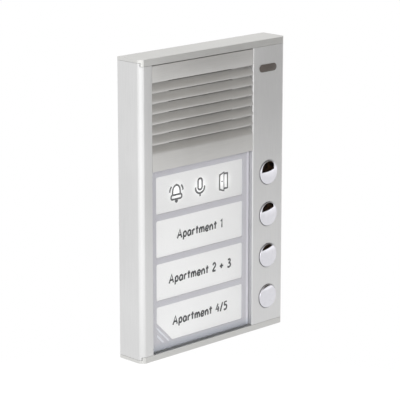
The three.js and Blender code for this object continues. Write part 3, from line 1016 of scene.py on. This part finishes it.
def makeProfile():
    wall, webFront = profile["wall"], profile["channelDeep"]
    webBack = webFront + profile["webThick"]
    bossDepth = middleOf("cap_screw_left")[1]
    bossReach, bossHalf = profile["boss"]
    inner, fillet = -halfWidth + wall, profile["fillet"]
    inside = [
        (inner, panelDepth),
        (inner, bossDepth + bossHalf),
        (inner + bossReach, bossDepth + bossHalf),
        (inner + bossReach, bossDepth - bossHalf),
        (inner, bossDepth - bossHalf),
        (inner, wall + fillet),
        (inner + fillet, wall),
    ]
    outline = [
        (-halfWidth, panelDepth),
        *cornerArc(),
        (channelLeft, 0),
        (channelLeft, webFront),
        (channelRight, webFront),
        *columnEdge(),
        *flipped(cornerArc()),
        (halfWidth, panelDepth),
        *reversed(flipped(inside)),
        (channelRight + wall, wall),
        (channelRight + wall, webBack),
        (channelLeft - wall, webBack),
        (channelLeft - wall, wall),
        *reversed(inside),
    ]
    end = halfHeight - profile["band"] - profile["seam"]
    piece = prism("profile", outline, -end, end, material=finish["profile"])
    topEnd = halfHeight - profile["topLip"] - profile["seam"]
    bottomEnd = -halfHeight + profile["bottomLip"] + profile["seam"]
    beyond = 5  # how far the cutters pass the outside
    wide, lipSeat = halfWidth + beyond, profile["lipDeep"] + profile["lipGap"]
    web = (webFront - 1, webBack + 1)
    openingX, openingZ = profile["windowOpening"]
    speakerZ, speakerRadius = profile["speakerOpening"]
    speaker = circle(louvre["speakerX"], speakerZ, speakerRadius)
    cutters = [
        block("cut", (-wide, wide), (-beyond, lipSeat), (topEnd, halfHeight + beyond)),
        block("cut", (-wide, wide), (-beyond, lipSeat), (-halfHeight - beyond, bottomEnd)),
        block("cut", openingX, web, openingZ),
        prism("cut", speaker, *web, upright=False),
    ]
    for x, z in buttonSpots:
        hole = circle(x, z, buttonRadius + profile["holeGap"], 96)
        cutters.append(prism("cut", hole, -1, wall + 1, upright=False))
    for side in (-1, 1):
        bore = circle(side * (inner + bossReach / 2), bossDepth, profile["screwBore"], 20)
        cutters.append(prism("cut", bore, -halfHeight, halfHeight))
    combine(piece, cutters, "DIFFERENCE")
    roundEdges(piece, profile["edge"])
    smoothed(piece, 15)
    finishPiece(piece, "housing", "anodised_aluminium", "housing_profile")


endCap = {
    "tongueAcross": (-40, 25),
    "tongueDepth": (8.5, 10),
    "tongueReach": 3.5,
    "screwHole": 1.35,
    "screwMouth": 3.0,
    "mouthDeep": 1.75,
    "soundHole": 1.0,
}


def capOutline(back, fromDepth=None):
    left = cornerArc(fromDepth)
    return [(left[0][0], back), *left, *flipped(left), (-left[0][0], back)]


def capCutters(under):
    # countersunk screw holes, and the hole in front of the microphone
    below, above = -halfHeight - 1, under + 1
    mouthEnds = (-halfHeight - 0.02, -halfHeight + endCap["mouthDeep"])
    cutters = []
    for node in ("cap_screw_left", "lock_screw", "cap_screw_right"):
        x, d = middleOf(node)[:2]
        hole, mouth = (circle(x, d, endCap[key], 32) for key in ("screwHole", "screwMouth"))
        cutters.append(prism("cut", hole, below, above))
        cutters.append(taper("cut", mouth, hole, *mouthEnds))
    x, d = middleOf("microphone")[:2]
    cutters.append(prism("cut", circle(x, d, endCap["soundHole"], 32), below, above))
    return cutters


def makeCap(name, node, sign, lipHeight):
    # sign is 1 for the top cap and -1 for the bottom one
    under, end = sign * (halfHeight - profile["band"]), sign * halfHeight
    lipEnd, lipDeep = sign * (halfHeight - lipHeight), profile["lipDeep"]
    piece = prism(name, capOutline(panelDepth), under, end, material=finish["cap"])
    lip = prism("lip", capOutline(lipDeep + 0.001, lipDeep), lipEnd, sign * (halfHeight - 0.5))
    tongueEnds = sorted((under - sign * endCap["tongueReach"], sign * (halfHeight - 1)))
    tongue = block("tongue", endCap["tongueAcross"], endCap["tongueDepth"], tongueEnds)
    combine(piece, [lip, tongue], "UNION")
    if sign < 0:
        combine(piece, capCutters(under), "DIFFERENCE")
    roundEdges(piece, profile["edge"])
    smoothed(piece, 15)
    finishPiece(piece, "housing", "anodised_aluminium", node)


makeProfile()
makeCap("topCap", "top_cap", 1, profile["topLip"])
makeCap("bottomCap", "bottom_cap", -1, profile["bottomLip"])
print("profile and end caps made")


# The louvred speaker panel: a sawtooth section that Geometry Nodes repeats, fills and extrudes.
def wire(name, points):
    # an open chain of edges; u is d and v is z
    mesh = bpy.data.meshes.new(name)
    edges = [(n, n + 1) for n in range(len(points) - 1)]
    mesh.from_pydata([(u * mm, v * mm, 0) for u, v in points], edges, [])
    return newObject(name, mesh)


def louvreTree():
    tree, given, made = newTree(
        "louvreRun",
        Tooth="Object",
        Plate="Object",
        Teeth="Int",
        Pitch="Float",
        Width="Float",
        SlotLength="Float",
        SlotHeight="Float",
        SlotDepth="Float",
        FirstSlot="Vector",
    )

    def merged(geometry):
        inputs = {"Geometry": geometry, "Distance": 0.00001}
        return addNode(tree, "GeometryNodeMergeByDistance", inputs).outputs[0]

    # the section: each tooth, and the plate behind them, in one closed loop
    step = vectorOf(tree, Y=arithmetic(tree, "MULTIPLY", given["Pitch"], -1.0))
    teeth = copiesOn(tree, rowOf(tree, given["Teeth"], step), partOf(tree, given["Tooth"]))
    section = joinedWith(tree, teeth, partOf(tree, given["Plate"]))
    chain = addNode(tree, "GeometryNodeRealizeInstances", {"Geometry": section})
    curve = addNode(tree, "GeometryNodeMeshToCurve", {"Mesh": merged(chain.outputs[0])})
    face = addNode(tree, "GeometryNodeFillCurve", {"Curve": curve.outputs[0]}, mode="NGONS")
    solid = addNode(tree, "GeometryNodeExtrudeMesh", {
        "Mesh": face.outputs[0],
        "Offset Scale": given["Width"],
        "Individual": False,
    })
    back = addNode(tree, "GeometryNodeFlipFaces", {"Mesh": face.outputs[0]})
    body = merged(joinedWith(tree, solid.outputs["Mesh"], back.outputs[0]))
    # a sound slot under each tooth
    size = vectorOf(tree, X=given["SlotDepth"], Y=given["SlotHeight"], Z=given["SlotLength"])
    slot = addNode(tree, "GeometryNodeMeshCube", {"Size": size})
    slots = copiesOn(tree, rowOf(tree, given["Teeth"], step, given["FirstSlot"]), slot.outputs[0])
    tools = addNode(tree, "GeometryNodeRealizeInstances", {"Geometry": slots})
    cut = addNode(tree, "GeometryNodeMeshBoolean", {
        "Mesh 1": body,
        "Mesh 2": tools.outputs[0],
    }, operation="DIFFERENCE")
    endTree(tree, cut.outputs[0], made, finish["louvre"])
    return tree


def makeLouvre():
    pitch, deep, back, first = (louvre[key] for key in ("pitch", "deep", "back", "first"))
    last = first - louvre["teeth"] * pitch
    bottom, top = louvreLow[2], louvreHigh[2]
    left, right = louvreLow[0] - louvre["sideGaps"][0], louvreHigh[0] + louvre["sideGaps"][1]
    rampTop, rampBottom = first - louvre["flat"], first - pitch + louvre["crest"]
    steps = louvre["rampSteps"]
    ramp = [
        (deep * (1 - n / steps) ** louvre["swell"], rampTop + (rampBottom - rampTop) * n / steps)
        for n in range(steps + 1)
    ]
    tooth = wire("tooth", [(0, first), (deep, first), *ramp, (0, first - pitch)])
    behind = [(0, bottom), (back, bottom), (back, top), (0, top)]
    rest = wire("plate", [(0, last), *behind, (0, first)])
    slotFront, slotBack = louvre["slotFront"], back + 1
    slotMiddle = first - louvre["slotDrop"] - louvre["slotHigh"] / 2
    piece = grow(
        "louvrePanel",
        louvreTree(),
        Tooth=tooth,
        Plate=rest,
        Teeth=louvre["teeth"],
        Pitch=pitch * mm,
        Width=(right - left) * mm,
        SlotLength=2 * louvre["slotHalf"] * mm,
        SlotHeight=louvre["slotHigh"] * mm,
        SlotDepth=(slotBack - slotFront) * mm,
        FirstSlot=(
            (slotFront + slotBack) / 2 * mm,
            slotMiddle * mm,
            (louvre["speakerX"] - left) * mm,
        ),
    )
    # the tree works in d, z and x: turn it upright
    turn = Matrix(((0, 0, 1, 0), (1, 0, 0, 0), (0, 1, 0, 0), (0, 0, 0, 1)))
    piece.data.transform(Matrix.Translation(place(left, 0, 0)) @ turn)
    for helper in (tooth, rest):
        bpy.data.objects.remove(helper)
    faceOutwards(piece, merge=False)
    roundEdges(piece, louvre["edge"])
    finishPiece(piece, "housing", "louvre_silver", "louvre_panel")


splash = {"pitch": 0.75, "wire": 0.22}


def splashMeshTree():
    # two layers of rods, one each way
    tree, given, made = newTree(
        "wovenScreen", Width="Float", Height="Float", Pitch="Float", Wire="Float"
    )
    layers = []
    ways = (("X", "Width", "Z", "Height"), ("Z", "Height", "X", "Width"))
    for axis, across, longAxis, length in ways:
        count = arithmetic(tree, "DIVIDE", given[across], given["Pitch"])
        step = vectorOf(tree, **{axis: given["Pitch"]})
        start = vectorOf(tree, **{axis: arithmetic(tree, "MULTIPLY", given[across], -0.5)})
        size = vectorOf(tree, **{axis: given["Wire"], "Y": given["Wire"], longAxis: given[length]})
        rod = addNode(tree, "GeometryNodeMeshCube", {"Size": size})
        layers.append(copiesOn(tree, rowOf(tree, count, step, start), rod.outputs[0]))
    endTree(tree, joinedWith(tree, *layers), made, finish["mesh"])
    return tree


def makeSplashMesh():
    low, high = boxIn("splash_mesh")
    piece = grow(
        "splashMesh",
        splashMeshTree(),
        Width=(high[0] - low[0]) * mm,
        Height=(high[2] - low[2]) * mm,
        Pitch=splash["pitch"] * mm,
        Wire=splash["wire"] * mm,
    )
    piece.data.transform(Matrix.Translation(place(*middleOf("splash_mesh"))))
    finishPiece(piece, "housing", "splash_mesh", "splash_mesh")


makeLouvre()
makeSplashMesh()
print("louvre panel made")


# The label window: clear cover, grey frame, four films and what is printed on them.
window = {
    "coverFront": 0.15,
    "coverBack": 2.75,
    "coverEdge": 0.25,
    "coverGapRight": 0.22,
    "frameFront": 3.05,
    "frameBack": 4.55,
    "frameEdge": 0.22,
    "fieldRound": 1.1,
    "cornerCut": 13.2,
    "fieldWidth": 74.4,
    "fieldHeight": 23.2,
    "fieldX": -10.1,  # the fields' middle
    "frameRound": 0.8,
    "coverRound": 0.6,
    "slits": ((9.2, 10.9), (4.5, 6.2)),  # how far from the corner each slit's two sides run
    "slitRound": 0.3,
    "ribProud": 0.12,
    "ribShort": 0.2,
    "ribEdge": 0.1,
    "lugAcross": 28,
    "lugHalf": (2, 0.5),
    "lugHeights": (-2, -87.6),  # below the cover's top edge, and from the middle
    "lugBack": 4.3,
    "lugSunk": 0.3,
    "filmFront": 3.5,
    "filmThick": 0.25,
    "filmMargin": 0.55,
    "filmRound": 1.0,
    "filmEdge": 0.05,
}
fieldHeights = [z for x, z in buttonSpots]  # each field is level with its button


def softPolygon(points, radius, steps=5):
    # a polygon with round corners
    made = []
    count = len(points)
    for n in range(count):
        corner = Vector(points[n])
        before = (Vector(points[n - 1]) - corner).normalized()
        after = (Vector(points[(n + 1) % count]) - corner).normalized()
        half = before.angle(after) / 2
        reach = radius / math.tan(half)
        centre = corner + (before + after).normalized() * (radius / math.sin(half))
        start = corner + before * reach - centre
        end = corner + after * reach - centre
        turn = start.angle_signed(end)
        for k in range(steps + 1):
            spot = start.copy()
            spot.rotate(Matrix.Rotation(-turn * k / steps, 2))
            made.append(tuple(centre + spot))
    return made


def fieldLoop(n, margin, radius=None):
    left = window["fieldX"] - window["fieldWidth"] / 2 - margin
    right = window["fieldX"] + window["fieldWidth"] / 2 + margin
    bottom = fieldHeights[n] - window["fieldHeight"] / 2 - margin
    top = fieldHeights[n] + window["fieldHeight"] / 2 + margin
    points = [(right, bottom), (right, top), (left, top), (left, bottom)]
    if n == 3:
        cut = window["cornerCut"]
        points[3:] = [(left, bottom + cut), (left + cut, bottom)]
    return softPolygon(points, radius or window["fieldRound"] + margin)


def slitLoops():
    left = window["fieldX"] - window["fieldWidth"] / 2
    bottom = fieldHeights[3] - window["fieldHeight"] / 2
    loops = []
    for near, far in window["slits"]:
        corners = [
            (left + near, bottom),
            (left + far, bottom),
            (left, bottom + far),
            (left, bottom + near),
        ]
        loops.append(softPolygon(corners, window["slitRound"], 3))
    return loops


def makeCornerRibs():
    # light guides that fill the two slanting slits
    front = window["frameFront"] - window["ribProud"]
    back = window["frameBack"] - window["ribShort"]
    ribs = [
        plate("rib", [loop], front, back, window["ribEdge"], finish["rib"])
        for loop in slitLoops()
    ]
    ribs = joined("cornerRibs", ribs)
    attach(smoothed(ribs, 40), "housing")


def makeLabelFrame():
    low, high = boxIn("label_frame")
    outline = roundedBox(low[0], high[0], low[2], high[2], window["frameRound"])
    loops = [outline, *[fieldLoop(n, 0) for n in range(4)], *slitLoops()]
    piece = plate(
        "labelFrame",
        loops,
        window["frameFront"],
        window["frameBack"],
        window["frameEdge"],
        finish["frameGrey"],
    )
    finishPiece(piece, "housing", "frame_grey", "label_frame")


def makeCover():
    low, high = boxIn("window_cover")
    right = channelRight - window["coverGapRight"]
    outline = roundedBox(low[0], right, low[2], high[2], window["coverRound"])
    sheet = plate(
        "windowCover",
        [outline],
        window["coverFront"],
        window["coverBack"],
        window["coverEdge"],
        finish["acrylic"],
        3,
    )
    halfLong, halfHigh = window["lugHalf"]
    lugDepth = (window["coverBack"] - window["lugSunk"], window["lugBack"])
    fromTop, lower = window["lugHeights"]
    lugs = [
        block("lug", (x - halfLong, x + halfLong), lugDepth, (z - halfHigh, z + halfHigh))
        for x in (window["fieldX"] - window["lugAcross"], window["fieldX"] + window["lugAcross"])
        for z in (high[2] + fromTop, lower)
    ]
    combine(sheet, lugs, "UNION")
    smoothed(sheet, 40)
    finishPiece(sheet, "window_cover", "clear_acrylic", "window_cover")


def makeFilms():
    front = window["filmFront"]
    for n in range(4):
        first = n == 0
        film = plate(
            "symbolFilm" if first else f"nameFilm{n}",
            [fieldLoop(n, window["filmMargin"], window["filmRound"])],
            front,
            front + window["filmThick"],
            window["filmEdge"],
            finish["symbolFilm" if first else "film"],
            1,
        )
        node = "symbol_label" if first else f"name_label_{n}"
        finishPiece(film, "housing", "label_film", node)


def inkMark(name, strokes, x, z, size, width, material):
    # strokes are (kind, points), kind "line", "frame" (a closed line) or "curve",
    # in units of size about (x, z)
    curve = bpy.data.curves.new(name, "CURVE")
    curve.dimensions = "3D"
    curve.bevel_depth = width / 2 * mm
    curve.bevel_resolution = 2
    curve.resolution_u = 8
    curve.use_fill_caps = True
    for kind, points in strokes:
        spline = curve.splines.new("BEZIER")
        spline.bezier_points.add(len(points) - 1)
        handle = "AUTO" if kind == "curve" else "VECTOR"
        for point, (u, v) in zip(spline.bezier_points, points):
            point.co = ((x + u * size) * mm, 0, (z + v * size) * mm)
            point.handle_left_type = handle
            point.handle_right_type = handle
        spline.use_cyclic_u = kind == "frame"
    mark = settle(newObject(name, curve))
    # a printed stroke is as good as flat
    squeeze = Matrix.Diagonal((1, writing["thickness"] / width, 1, 1))
    onFilm = Matrix.Translation(place(0, window["filmFront"], 0))
    mark.data.transform(onFilm @ squeeze)
    paint(mark, material)
    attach(mark, "housing")


# Strokes are in millimetres about each symbol's middle.
bellStrokes = [
    ("curve", [
        (-3.2, -1.6), (-3.1, 0.7), (-2.4, 2.9), (0, 4.3), (2.4, 2.9), (3.1, 0.7), (3.2, -1.6),
    ]),
    ("frame", softPolygon([(4.5, -4.4), (4.5, -1.7), (-4.5, -1.7), (-4.5, -4.4)], 1.1)),
    ("line", [(0, 4.4), (0, 5.0)]),
    ("frame", softPolygon([(1.1, -5.5), (-1.1, -5.5), (0, -6.4)], 0.15, 2)),
    ("curve", [(-5.6, 0.4), (-5.2, 2.2), (-4.1, 3.9)]),
    ("curve", [(5.6, 0.4), (5.2, 2.2), (4.1, 3.9)]),
]
microphoneStrokes = [
    ("frame", softPolygon([(1.75, -2.0), (1.75, 5.1), (-1.75, 5.1), (-1.75, -2.0)], 1.7, 8)),
    ("curve", [
        (-3.9, -0.1), (-3.5, -2.2), (-2.0, -3.7), (0, -4.2), (2.0, -3.7), (3.5, -2.2), (3.9, -0.1),
    ]),
    ("line", [(0, -4.2), (0, -6.2)]),
]
doorStrokes = [
    ("frame", [(-3.4, 4.2), (0.4, 5.5), (0.4, -6.3), (-3.4, -5.0)]),
    ("line", [(0.4, 4.6), (3.5, 4.6), (3.5, -4.9), (0.4, -4.9)]),
    ("line", [(-1.2, 0.3), (-1.2, -0.5)]),
]

# Hand-printed letters: advance and strokes in units of the capital height.
letters = {
    "A": (0.80, [("line", [(0.02, 0), (0.38, 1.0), (0.70, 0)]),
                 ("line", [(0.14, 0.34), (0.60, 0.36)])]),
    "p": (0.64, [("line", [(0.10, -0.30), (0.12, 0.62)]),
                 ("curve", [(0.12, 0.5), (0.34, 0.64), (0.53, 0.38), (0.36, 0.05), (0.12, 0.13)])]),
    "a": (0.64, [("curve", [(0.50, 0.54), (0.28, 0.64), (0.07, 0.32), (0.22, 0.03), (0.44, 0.16),
                            (0.52, 0.48)]),
                 ("line", [(0.51, 0.62), (0.55, 0.0)])]),
    "r": (0.48, [("line", [(0.10, 0.62), (0.12, 0)]),
                 ("curve", [(0.12, 0.38), (0.26, 0.60), (0.44, 0.58)])]),
    "t": (0.50, [("line", [(0.24, 0.92), (0.25, 0.02)]), ("line", [(0.03, 0.62), (0.46, 0.65)])]),
    "m": (0.92, [("line", [(0.08, 0.62), (0.10, 0)]),
                 ("curve", [(0.10, 0.38), (0.28, 0.63), (0.43, 0.42), (0.44, 0.0)]),
                 ("curve", [(0.44, 0.38), (0.62, 0.63), (0.78, 0.42), (0.80, 0.0)])]),
    "e": (0.60, [("curve", [(0.08, 0.32), (0.50, 0.38), (0.34, 0.64), (0.08, 0.38), (0.18, 0.05),
                            (0.52, 0.10)])]),
    "n": (0.62, [("line", [(0.08, 0.62), (0.10, 0)]),
                 ("curve", [(0.10, 0.38), (0.32, 0.63), (0.50, 0.42), (0.52, 0.0)])]),
    "1": (0.42, [("line", [(0.06, 0.76), (0.26, 0.98), (0.26, 0)])]),
    "2": (0.62, [("curve", [(0.08, 0.76), (0.30, 1.0), (0.52, 0.76), (0.30, 0.36), (0.06, 0.03)]),
                 ("line", [(0.06, 0.03), (0.58, 0.04)])]),
    "3": (0.60, [("curve", [(0.10, 0.92), (0.36, 0.98), (0.48, 0.76), (0.24, 0.54)]),
                 ("curve", [(0.24, 0.54), (0.54, 0.38), (0.42, 0.05), (0.06, 0.08)])]),
    "4": (0.64, [("line", [(0.38, 0.98), (0.04, 0.34), (0.58, 0.37)]),
                 ("line", [(0.42, 0.64), (0.42, 0.0)])]),
    "5": (0.60, [("line", [(0.52, 0.98), (0.16, 0.95), (0.12, 0.56)]),
                 ("curve", [(0.12, 0.56), (0.38, 0.60), (0.52, 0.32), (0.34, 0.03), (0.06, 0.08)])]),
    "+": (0.68, [("line", [(0.04, 0.40), (0.60, 0.42)]), ("line", [(0.32, 0.70), (0.32, 0.12)])]),
    "/": (0.50, [("line", [(0.40, 1.02), (0.06, -0.06)])]),
    " ": (0.42, []),
}
writing = {
    "capital": 5.3,
    "spacing": 0.09,
    "stroke": 1.2,
    "slant": 0.05,
    "shift": (0.7, -0.45),  # across in millimetres, and up in capital heights
    "thickness": 0.05,
    "names": ("Apartment 1", "Apartment 2 + 3", "Apartment 4/5"),
}


def writtenLine(text):
    strokes, pen = [], 0.0
    for letter in text:
        advance, marks = letters[letter]
        for kind, points in marks:
            strokes.append((kind, [(pen + u + v * writing["slant"], v) for u, v in points]))
        pen += advance + writing["spacing"]
    lift = writing["shift"][1]
    return [(kind, [(u - pen / 2, v + lift) for u, v in points]) for kind, points in strokes]


def makePrint():
    symbols = (
        ("bellSymbol", bellStrokes, 1.15),
        ("microphoneSymbol", microphoneStrokes, 1.2),
        ("doorSymbol", doorStrokes, 1.4),
    )
    for (name, strokes, stroke), (x, z) in zip(symbols, symbolSpots):
        inkMark(name, strokes, x, z, 1.0, stroke, finish["symbolInk"])
    for n, text in enumerate(writing["names"], 1):
        inkMark(
            f"flatName{n}",
            writtenLine(text),
            window["fieldX"] + writing["shift"][0],
            fieldHeights[n],
            writing["capital"],
            writing["stroke"],
            finish["nameInk"],
        )


makeLabelFrame()
makeCornerRibs()
makeCover()
makeFilms()
makePrint()
print("label window made")


# Call buttons: a chromed dome over a plunger, on a conical spring.
button = {
    "radius": buttonRadius,
    "skin": 0.7,
    "rimDepth": 1.7,
    "domeRadius": 32.0,
    "domeEdge": 0.48,
    "proud": 1.6,
    "rimSteps": 10,
    "domeSteps": 16,
    "innerSteps": 6,
    "travel": 1.0,
    "springTurns": 3.0,
    "springWide": 6.6,
    "springNarrow": 3.7,
    "springWire": 0.28,
}


def capProfile():
    # (radius, d) round the cap's skin: rim, rounded edge, dome, and back along the inside
    radius, skinThick, dome = button["radius"], button["skin"], button["domeRadius"]
    flat = radius - button["domeEdge"]
    centre = dome - button["proud"]
    lean = math.asin(flat / dome)
    bend = button["domeEdge"] / (1 - math.sin(lean))
    shoulder = centre - dome * math.cos(lean)
    foot = (radius - skinThick, button["rimDepth"])
    points = [foot, (radius, button["rimDepth"])]
    steps = button["rimSteps"]
    for n in range(steps + 1):
        a = math.pi / 2 + (lean - math.pi / 2) * n / steps
        points.append((
            flat + bend * (math.sin(a) - math.sin(lean)),
            shoulder + bend * (math.cos(lean) - math.cos(a)),
        ))
    steps = button["domeSteps"]
    for n in range(1, steps + 1):
        r = flat * (1 - n / steps)
        points.append((r, centre - math.sqrt(dome**2 - r**2)))
    steps = button["innerSteps"]
    for n in range(steps + 1):
        r = foot[0] * n / steps
        points.append((r, centre - math.sqrt(dome**2 - r**2) + skinThick))
    return [*points, foot]


def coilTree():
    tree, given, made = newTree(
        "coneCoil", Turns="Float", Wide="Float", Narrow="Float", Height="Float", Wire="Float"
    )
    path = addNode(tree, "GeometryNodeCurveSpiral", {
        "Resolution": 28,
        "Rotations": given["Turns"],
        "Start Radius": given["Wide"],
        "End Radius": given["Narrow"],
        "Height": given["Height"],
    })
    circleInputs = {"Resolution": 10, "Radius": given["Wire"]}
    ring = addNode(tree, "GeometryNodeCurvePrimitiveCircle", circleInputs)
    coil = addNode(tree, "GeometryNodeCurveToMesh", {
        "Curve": path.outputs[0],
        "Profile Curve": ring.outputs["Curve"],
        "Fill Caps": True,
    })
    endTree(tree, coil.outputs[0], made, finish["steel"])
    return tree


def makeButtons():
    coil, thick = coilTree(), button["springWire"]
    turn = Matrix.Rotation(math.radians(-90), 4, "X")
    for n, (x, z) in enumerate(buttonSpots, 1):
        cap = turned(f"callButtonCap{n}", capProfile(), x, z, finish["chrome"])
        finishPiece(cap, f"call_button_{n}", "chrome", f"call_button_cap_{n}")
        low, high = boxIn(f"call_button_spring_{n}")
        length = high[1] - low[1]
        spring = grow(
            f"callButtonSpring{n}",
            coil,
            Turns=button["springTurns"],
            Wide=button["springWide"] * mm,
            Narrow=button["springNarrow"] * mm,
            Height=(length - 2 * thick) * mm,
            Wire=thick * mm,
        )
        spring.data.transform(Matrix.Translation(Vector((x, low[1] + thick, z)) * mm) @ turn)
        finishPiece(smoothed(spring, 60), "housing", "steel", f"call_button_spring_{n}")
        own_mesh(spring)


makeButtons()
print("call buttons made")


# Badge, screws, wall plate and cable seal.
badge = {"sunk": 0.02, "edge": 0.06, "roundLess": 0.01}


def makeBadge():
    low, high = boxIn("blank_badge")
    ends = (high[2] - low[2]) / 2 - badge["roundLess"]
    outline = roundedBox(low[0], high[0], low[2], high[2], ends, 10)
    front, back = low[1] + panelDepth, -badge["sunk"]
    piece = plate("blankBadge", [outline], front, back, badge["edge"], finish["badge"])
    finishPiece(piece, "housing", "badge", "blank_badge")


screw = {
    "sides": 36,
    "rim": 0.15,
    "threadPitch": 0.5,
    "threadDeep": 0.18,
    "tip": 0.4,
    "socketDepth": 2.4,
    "socketMiddle": 0.1,
    # head radius, head height, shank radius, length, socket radius
    "capSizes": (2.65, 1.6, 1.05, 9.0, 1.1),
    "boardSizes": (2.1, 1.45, 0.95, 4.7, 0.9),
}


def screwPart(head, headDeep, shank, length, socket):
    # a countersunk screw with a six-sided socket, its head down
    rim, pitch = screw["rim"], screw["threadPitch"]
    outline = [(0.0, 0.0), (head - rim, 0.0), (head, rim), (head, rim * 2), (shank, headDeep)]
    for n in range(int((length - headDeep - 1) / pitch)):
        z = headDeep + pitch + n * pitch
        outline += [(shank, z), (shank - screw["threadDeep"], z + pitch / 2)]
    outline += [(shank, length - screw["tip"]), (0.0, length)]
    bm = bmesh.new()
    rings = []
    for r, z in outline:
        spots = [(0, 0)] if r == 0 else circle(0, 0, r, screw["sides"])
        rings.append([bm.verts.new((u * mm, v * mm, z * mm)) for u, v in spots])
    skin(bm, rings)
    part = fromBmesh("screwPart", bm)
    bm = bmesh.new()
    bmesh.ops.create_cone(
        bm,
        cap_ends=True,
        segments=6,
        radius1=socket * mm,
        radius2=socket * mm,
        depth=screw["socketDepth"] * mm,
        matrix=Matrix.Translation((0, 0, screw["socketMiddle"] * mm)),
    )
    return combine(part, [fromBmesh("socket", bm)], "DIFFERENCE")


def sideSpot(node, axis, end):
    # the middle of one side of a node's box
    sides = boxIn(node)
    spot = [(a + b) / 2 for a, b in zip(*sides)]
    spot[axis] = sides[end][axis]
    return Vector(spot) * mm


def makeScrews(name, nodes, spots, part):
    piece = grow(name, atEachPoint(f"{name}Row", finish["steel"]), spots, Part=part)
    bpy.data.objects.remove(part)
    finishPiece(smoothed(piece, 30), "housing", "steel", *nodes)


def makeCapScrews():
    nodes = ("cap_screw_left", "lock_screw", "cap_screw_right")
    spots = [sideSpot(node, 2, 0) for node in nodes]
    makeScrews("capScrews", nodes, spots, screwPart(*screw["capSizes"]))


def makeBoardScrews():
    nodes = [f"board_screw_{n}" for n in range(1, 5)]
    spots = [sideSpot(node, 1, 1) for node in nodes]
    part = screwPart(*screw["boardSizes"])
    part.data.transform(Matrix.Rotation(math.radians(90), 4, "X"))
    makeScrews("boardScrews", nodes, spots, part)


wallFixing = {
    "thick": 2,
    "slotHalfLength": 4.0,
    "slotHalfWidth": 2.25,
    "slots": [(-46, 72), (46, 72), (-46, -72), (46, -72), (-30, 8), (30, 8)],
    "cornerRound": 2.5,
    "edge": 0.2,
    "sealMargin": 1.8,  # the seal's groove is smaller than its flange
    "sealRound": 0.4,
    "hooks": (-34, 34),
    "hookHalf": 5,
    "hookFront": 12,
    "hookHigh": 1.5,
    "tabHalf": 7,
    "tabFront": 10.8,
    "tabHigh": 1.6,
    "lockBore": 1.35,
}


def makeWallPlate():
    low, high = boxIn("wall_plate")
    sealLow, sealHigh = boxIn("cable_seal")
    margin = wallFixing["sealMargin"]
    loops = [
        roundedBox(low[0], high[0], low[2], high[2], wallFixing["cornerRound"]),
        roundedBox(
            sealLow[0] + margin,
            sealHigh[0] - margin,
            sealLow[2] + margin,
            sealHigh[2] - margin,
            wallFixing["sealRound"],
        ),
    ]
    halfLong, halfWide = wallFixing["slotHalfLength"], wallFixing["slotHalfWidth"]
    for x, z in wallFixing["slots"]:
        ends = (x - halfLong, x + halfLong, z - halfWide, z + halfWide)
        loops.append(roundedBox(*ends, halfWide - 0.01, 8))
    front = panelDepth - wallFixing["thick"]
    sheet = plate("wallPlate", loops, front, panelDepth, wallFixing["edge"], finish["galvanised"])
    half, tabHalf = wallFixing["hookHalf"], wallFixing["tabHalf"]
    hookDepth, tabDepth = ((wallFixing[key], front + 0.5) for key in ("hookFront", "tabFront"))
    hookHeight = (high[2] - wallFixing["hookHigh"], high[2] - 0.01)
    hooks = [
        block("hook", (x - half, x + half), hookDepth, hookHeight)
        for x in wallFixing["hooks"]
    ]
    tabHeight = (low[2] + 0.01, low[2] + wallFixing["tabHigh"])
    tab = block("tab", (-tabHalf, tabHalf), tabDepth, tabHeight)
    bore = circle(0, middleOf("lock_screw")[1], wallFixing["lockBore"], 24)
    combine(tab, [prism("bore", bore, low[2] - 1, low[2] + 3)], "DIFFERENCE")
    combine(sheet, [*hooks, tab], "UNION")
    smoothed(sheet, 35)
    finishPiece(sheet, "housing", "wall_plate_steel", "wall_plate")


seal = {
    "holeHalf": (9, 5),
    "holeRound": 0.3,
    "neckShrink": 2.2,  # how far the neck in the wall plate stands back from the flange's edge
    "overlap": (2.1, 2.4),  # where the flange ends and the neck starts, from the wall
    "cornerRound": 1.4,
    "edge": 0.2,
}


def makeCableSeal():
    low, high = boxIn("cable_seal")
    middle = middleOf("cable_seal")[2]
    halfLong, halfHigh = seal["holeHalf"]
    hole = roundedBox(-halfLong, halfLong, middle - halfHigh, middle + halfHigh, seal["holeRound"])
    flangeEnd, neckStart = (panelDepth - depth for depth in seal["overlap"])
    parts = []
    for shrink, front, back in (
        (0, low[1] + panelDepth, flangeEnd),
        (seal["neckShrink"], neckStart, high[1] + panelDepth),
    ):
        sides = (low[0] + shrink, high[0] - shrink, low[2] + shrink, high[2] - shrink)
        loops = [roundedBox(*sides, seal["cornerRound"]), hole]
        parts.append(plate("cableSeal", loops, front, back, seal["edge"], finish["rubber"]))
    piece = combine(parts[0], parts[1:], "UNION")
    finishPiece(smoothed(piece, 35), "housing", "rubber", "cable_seal")


makeBadge()
makeCapScrews()
makeBoardScrews()
makeWallPlate()
makeCableSeal()
print("badge, screws, wall plate and seal made")


# The pieces inside keep their own solids, and get their finish by material slot.
slotFinish = {
    "grey_plastic": "greyPlastic",
    "black_plastic": "blackPlastic",
    "steel": "steel",
    "diffuser": "opal",
    "circuit_board": "board",
    "led": "led",
    "terminal_green": "terminal",
    "foam": "foam",
    "paper_cone": "paper",
    "rubber": "rubber",
    "anodised_aluminium": "profile",
    "wall_plate_steel": "galvanised",
    "louvre_silver": "louvre",
    "splash_mesh": "mesh",
    "clear_acrylic": "acrylic",
    "frame_grey": "frameGrey",
    "label_film": "film",
    "badge": "badge",
    "chrome": "chrome",
}
for subpart in frame["record"]["subparts"]:
    paint(frame["nodes"][subpart["node"]], finish[slotFinish[subpart["material_slot"]]])
print("inner pieces finished")
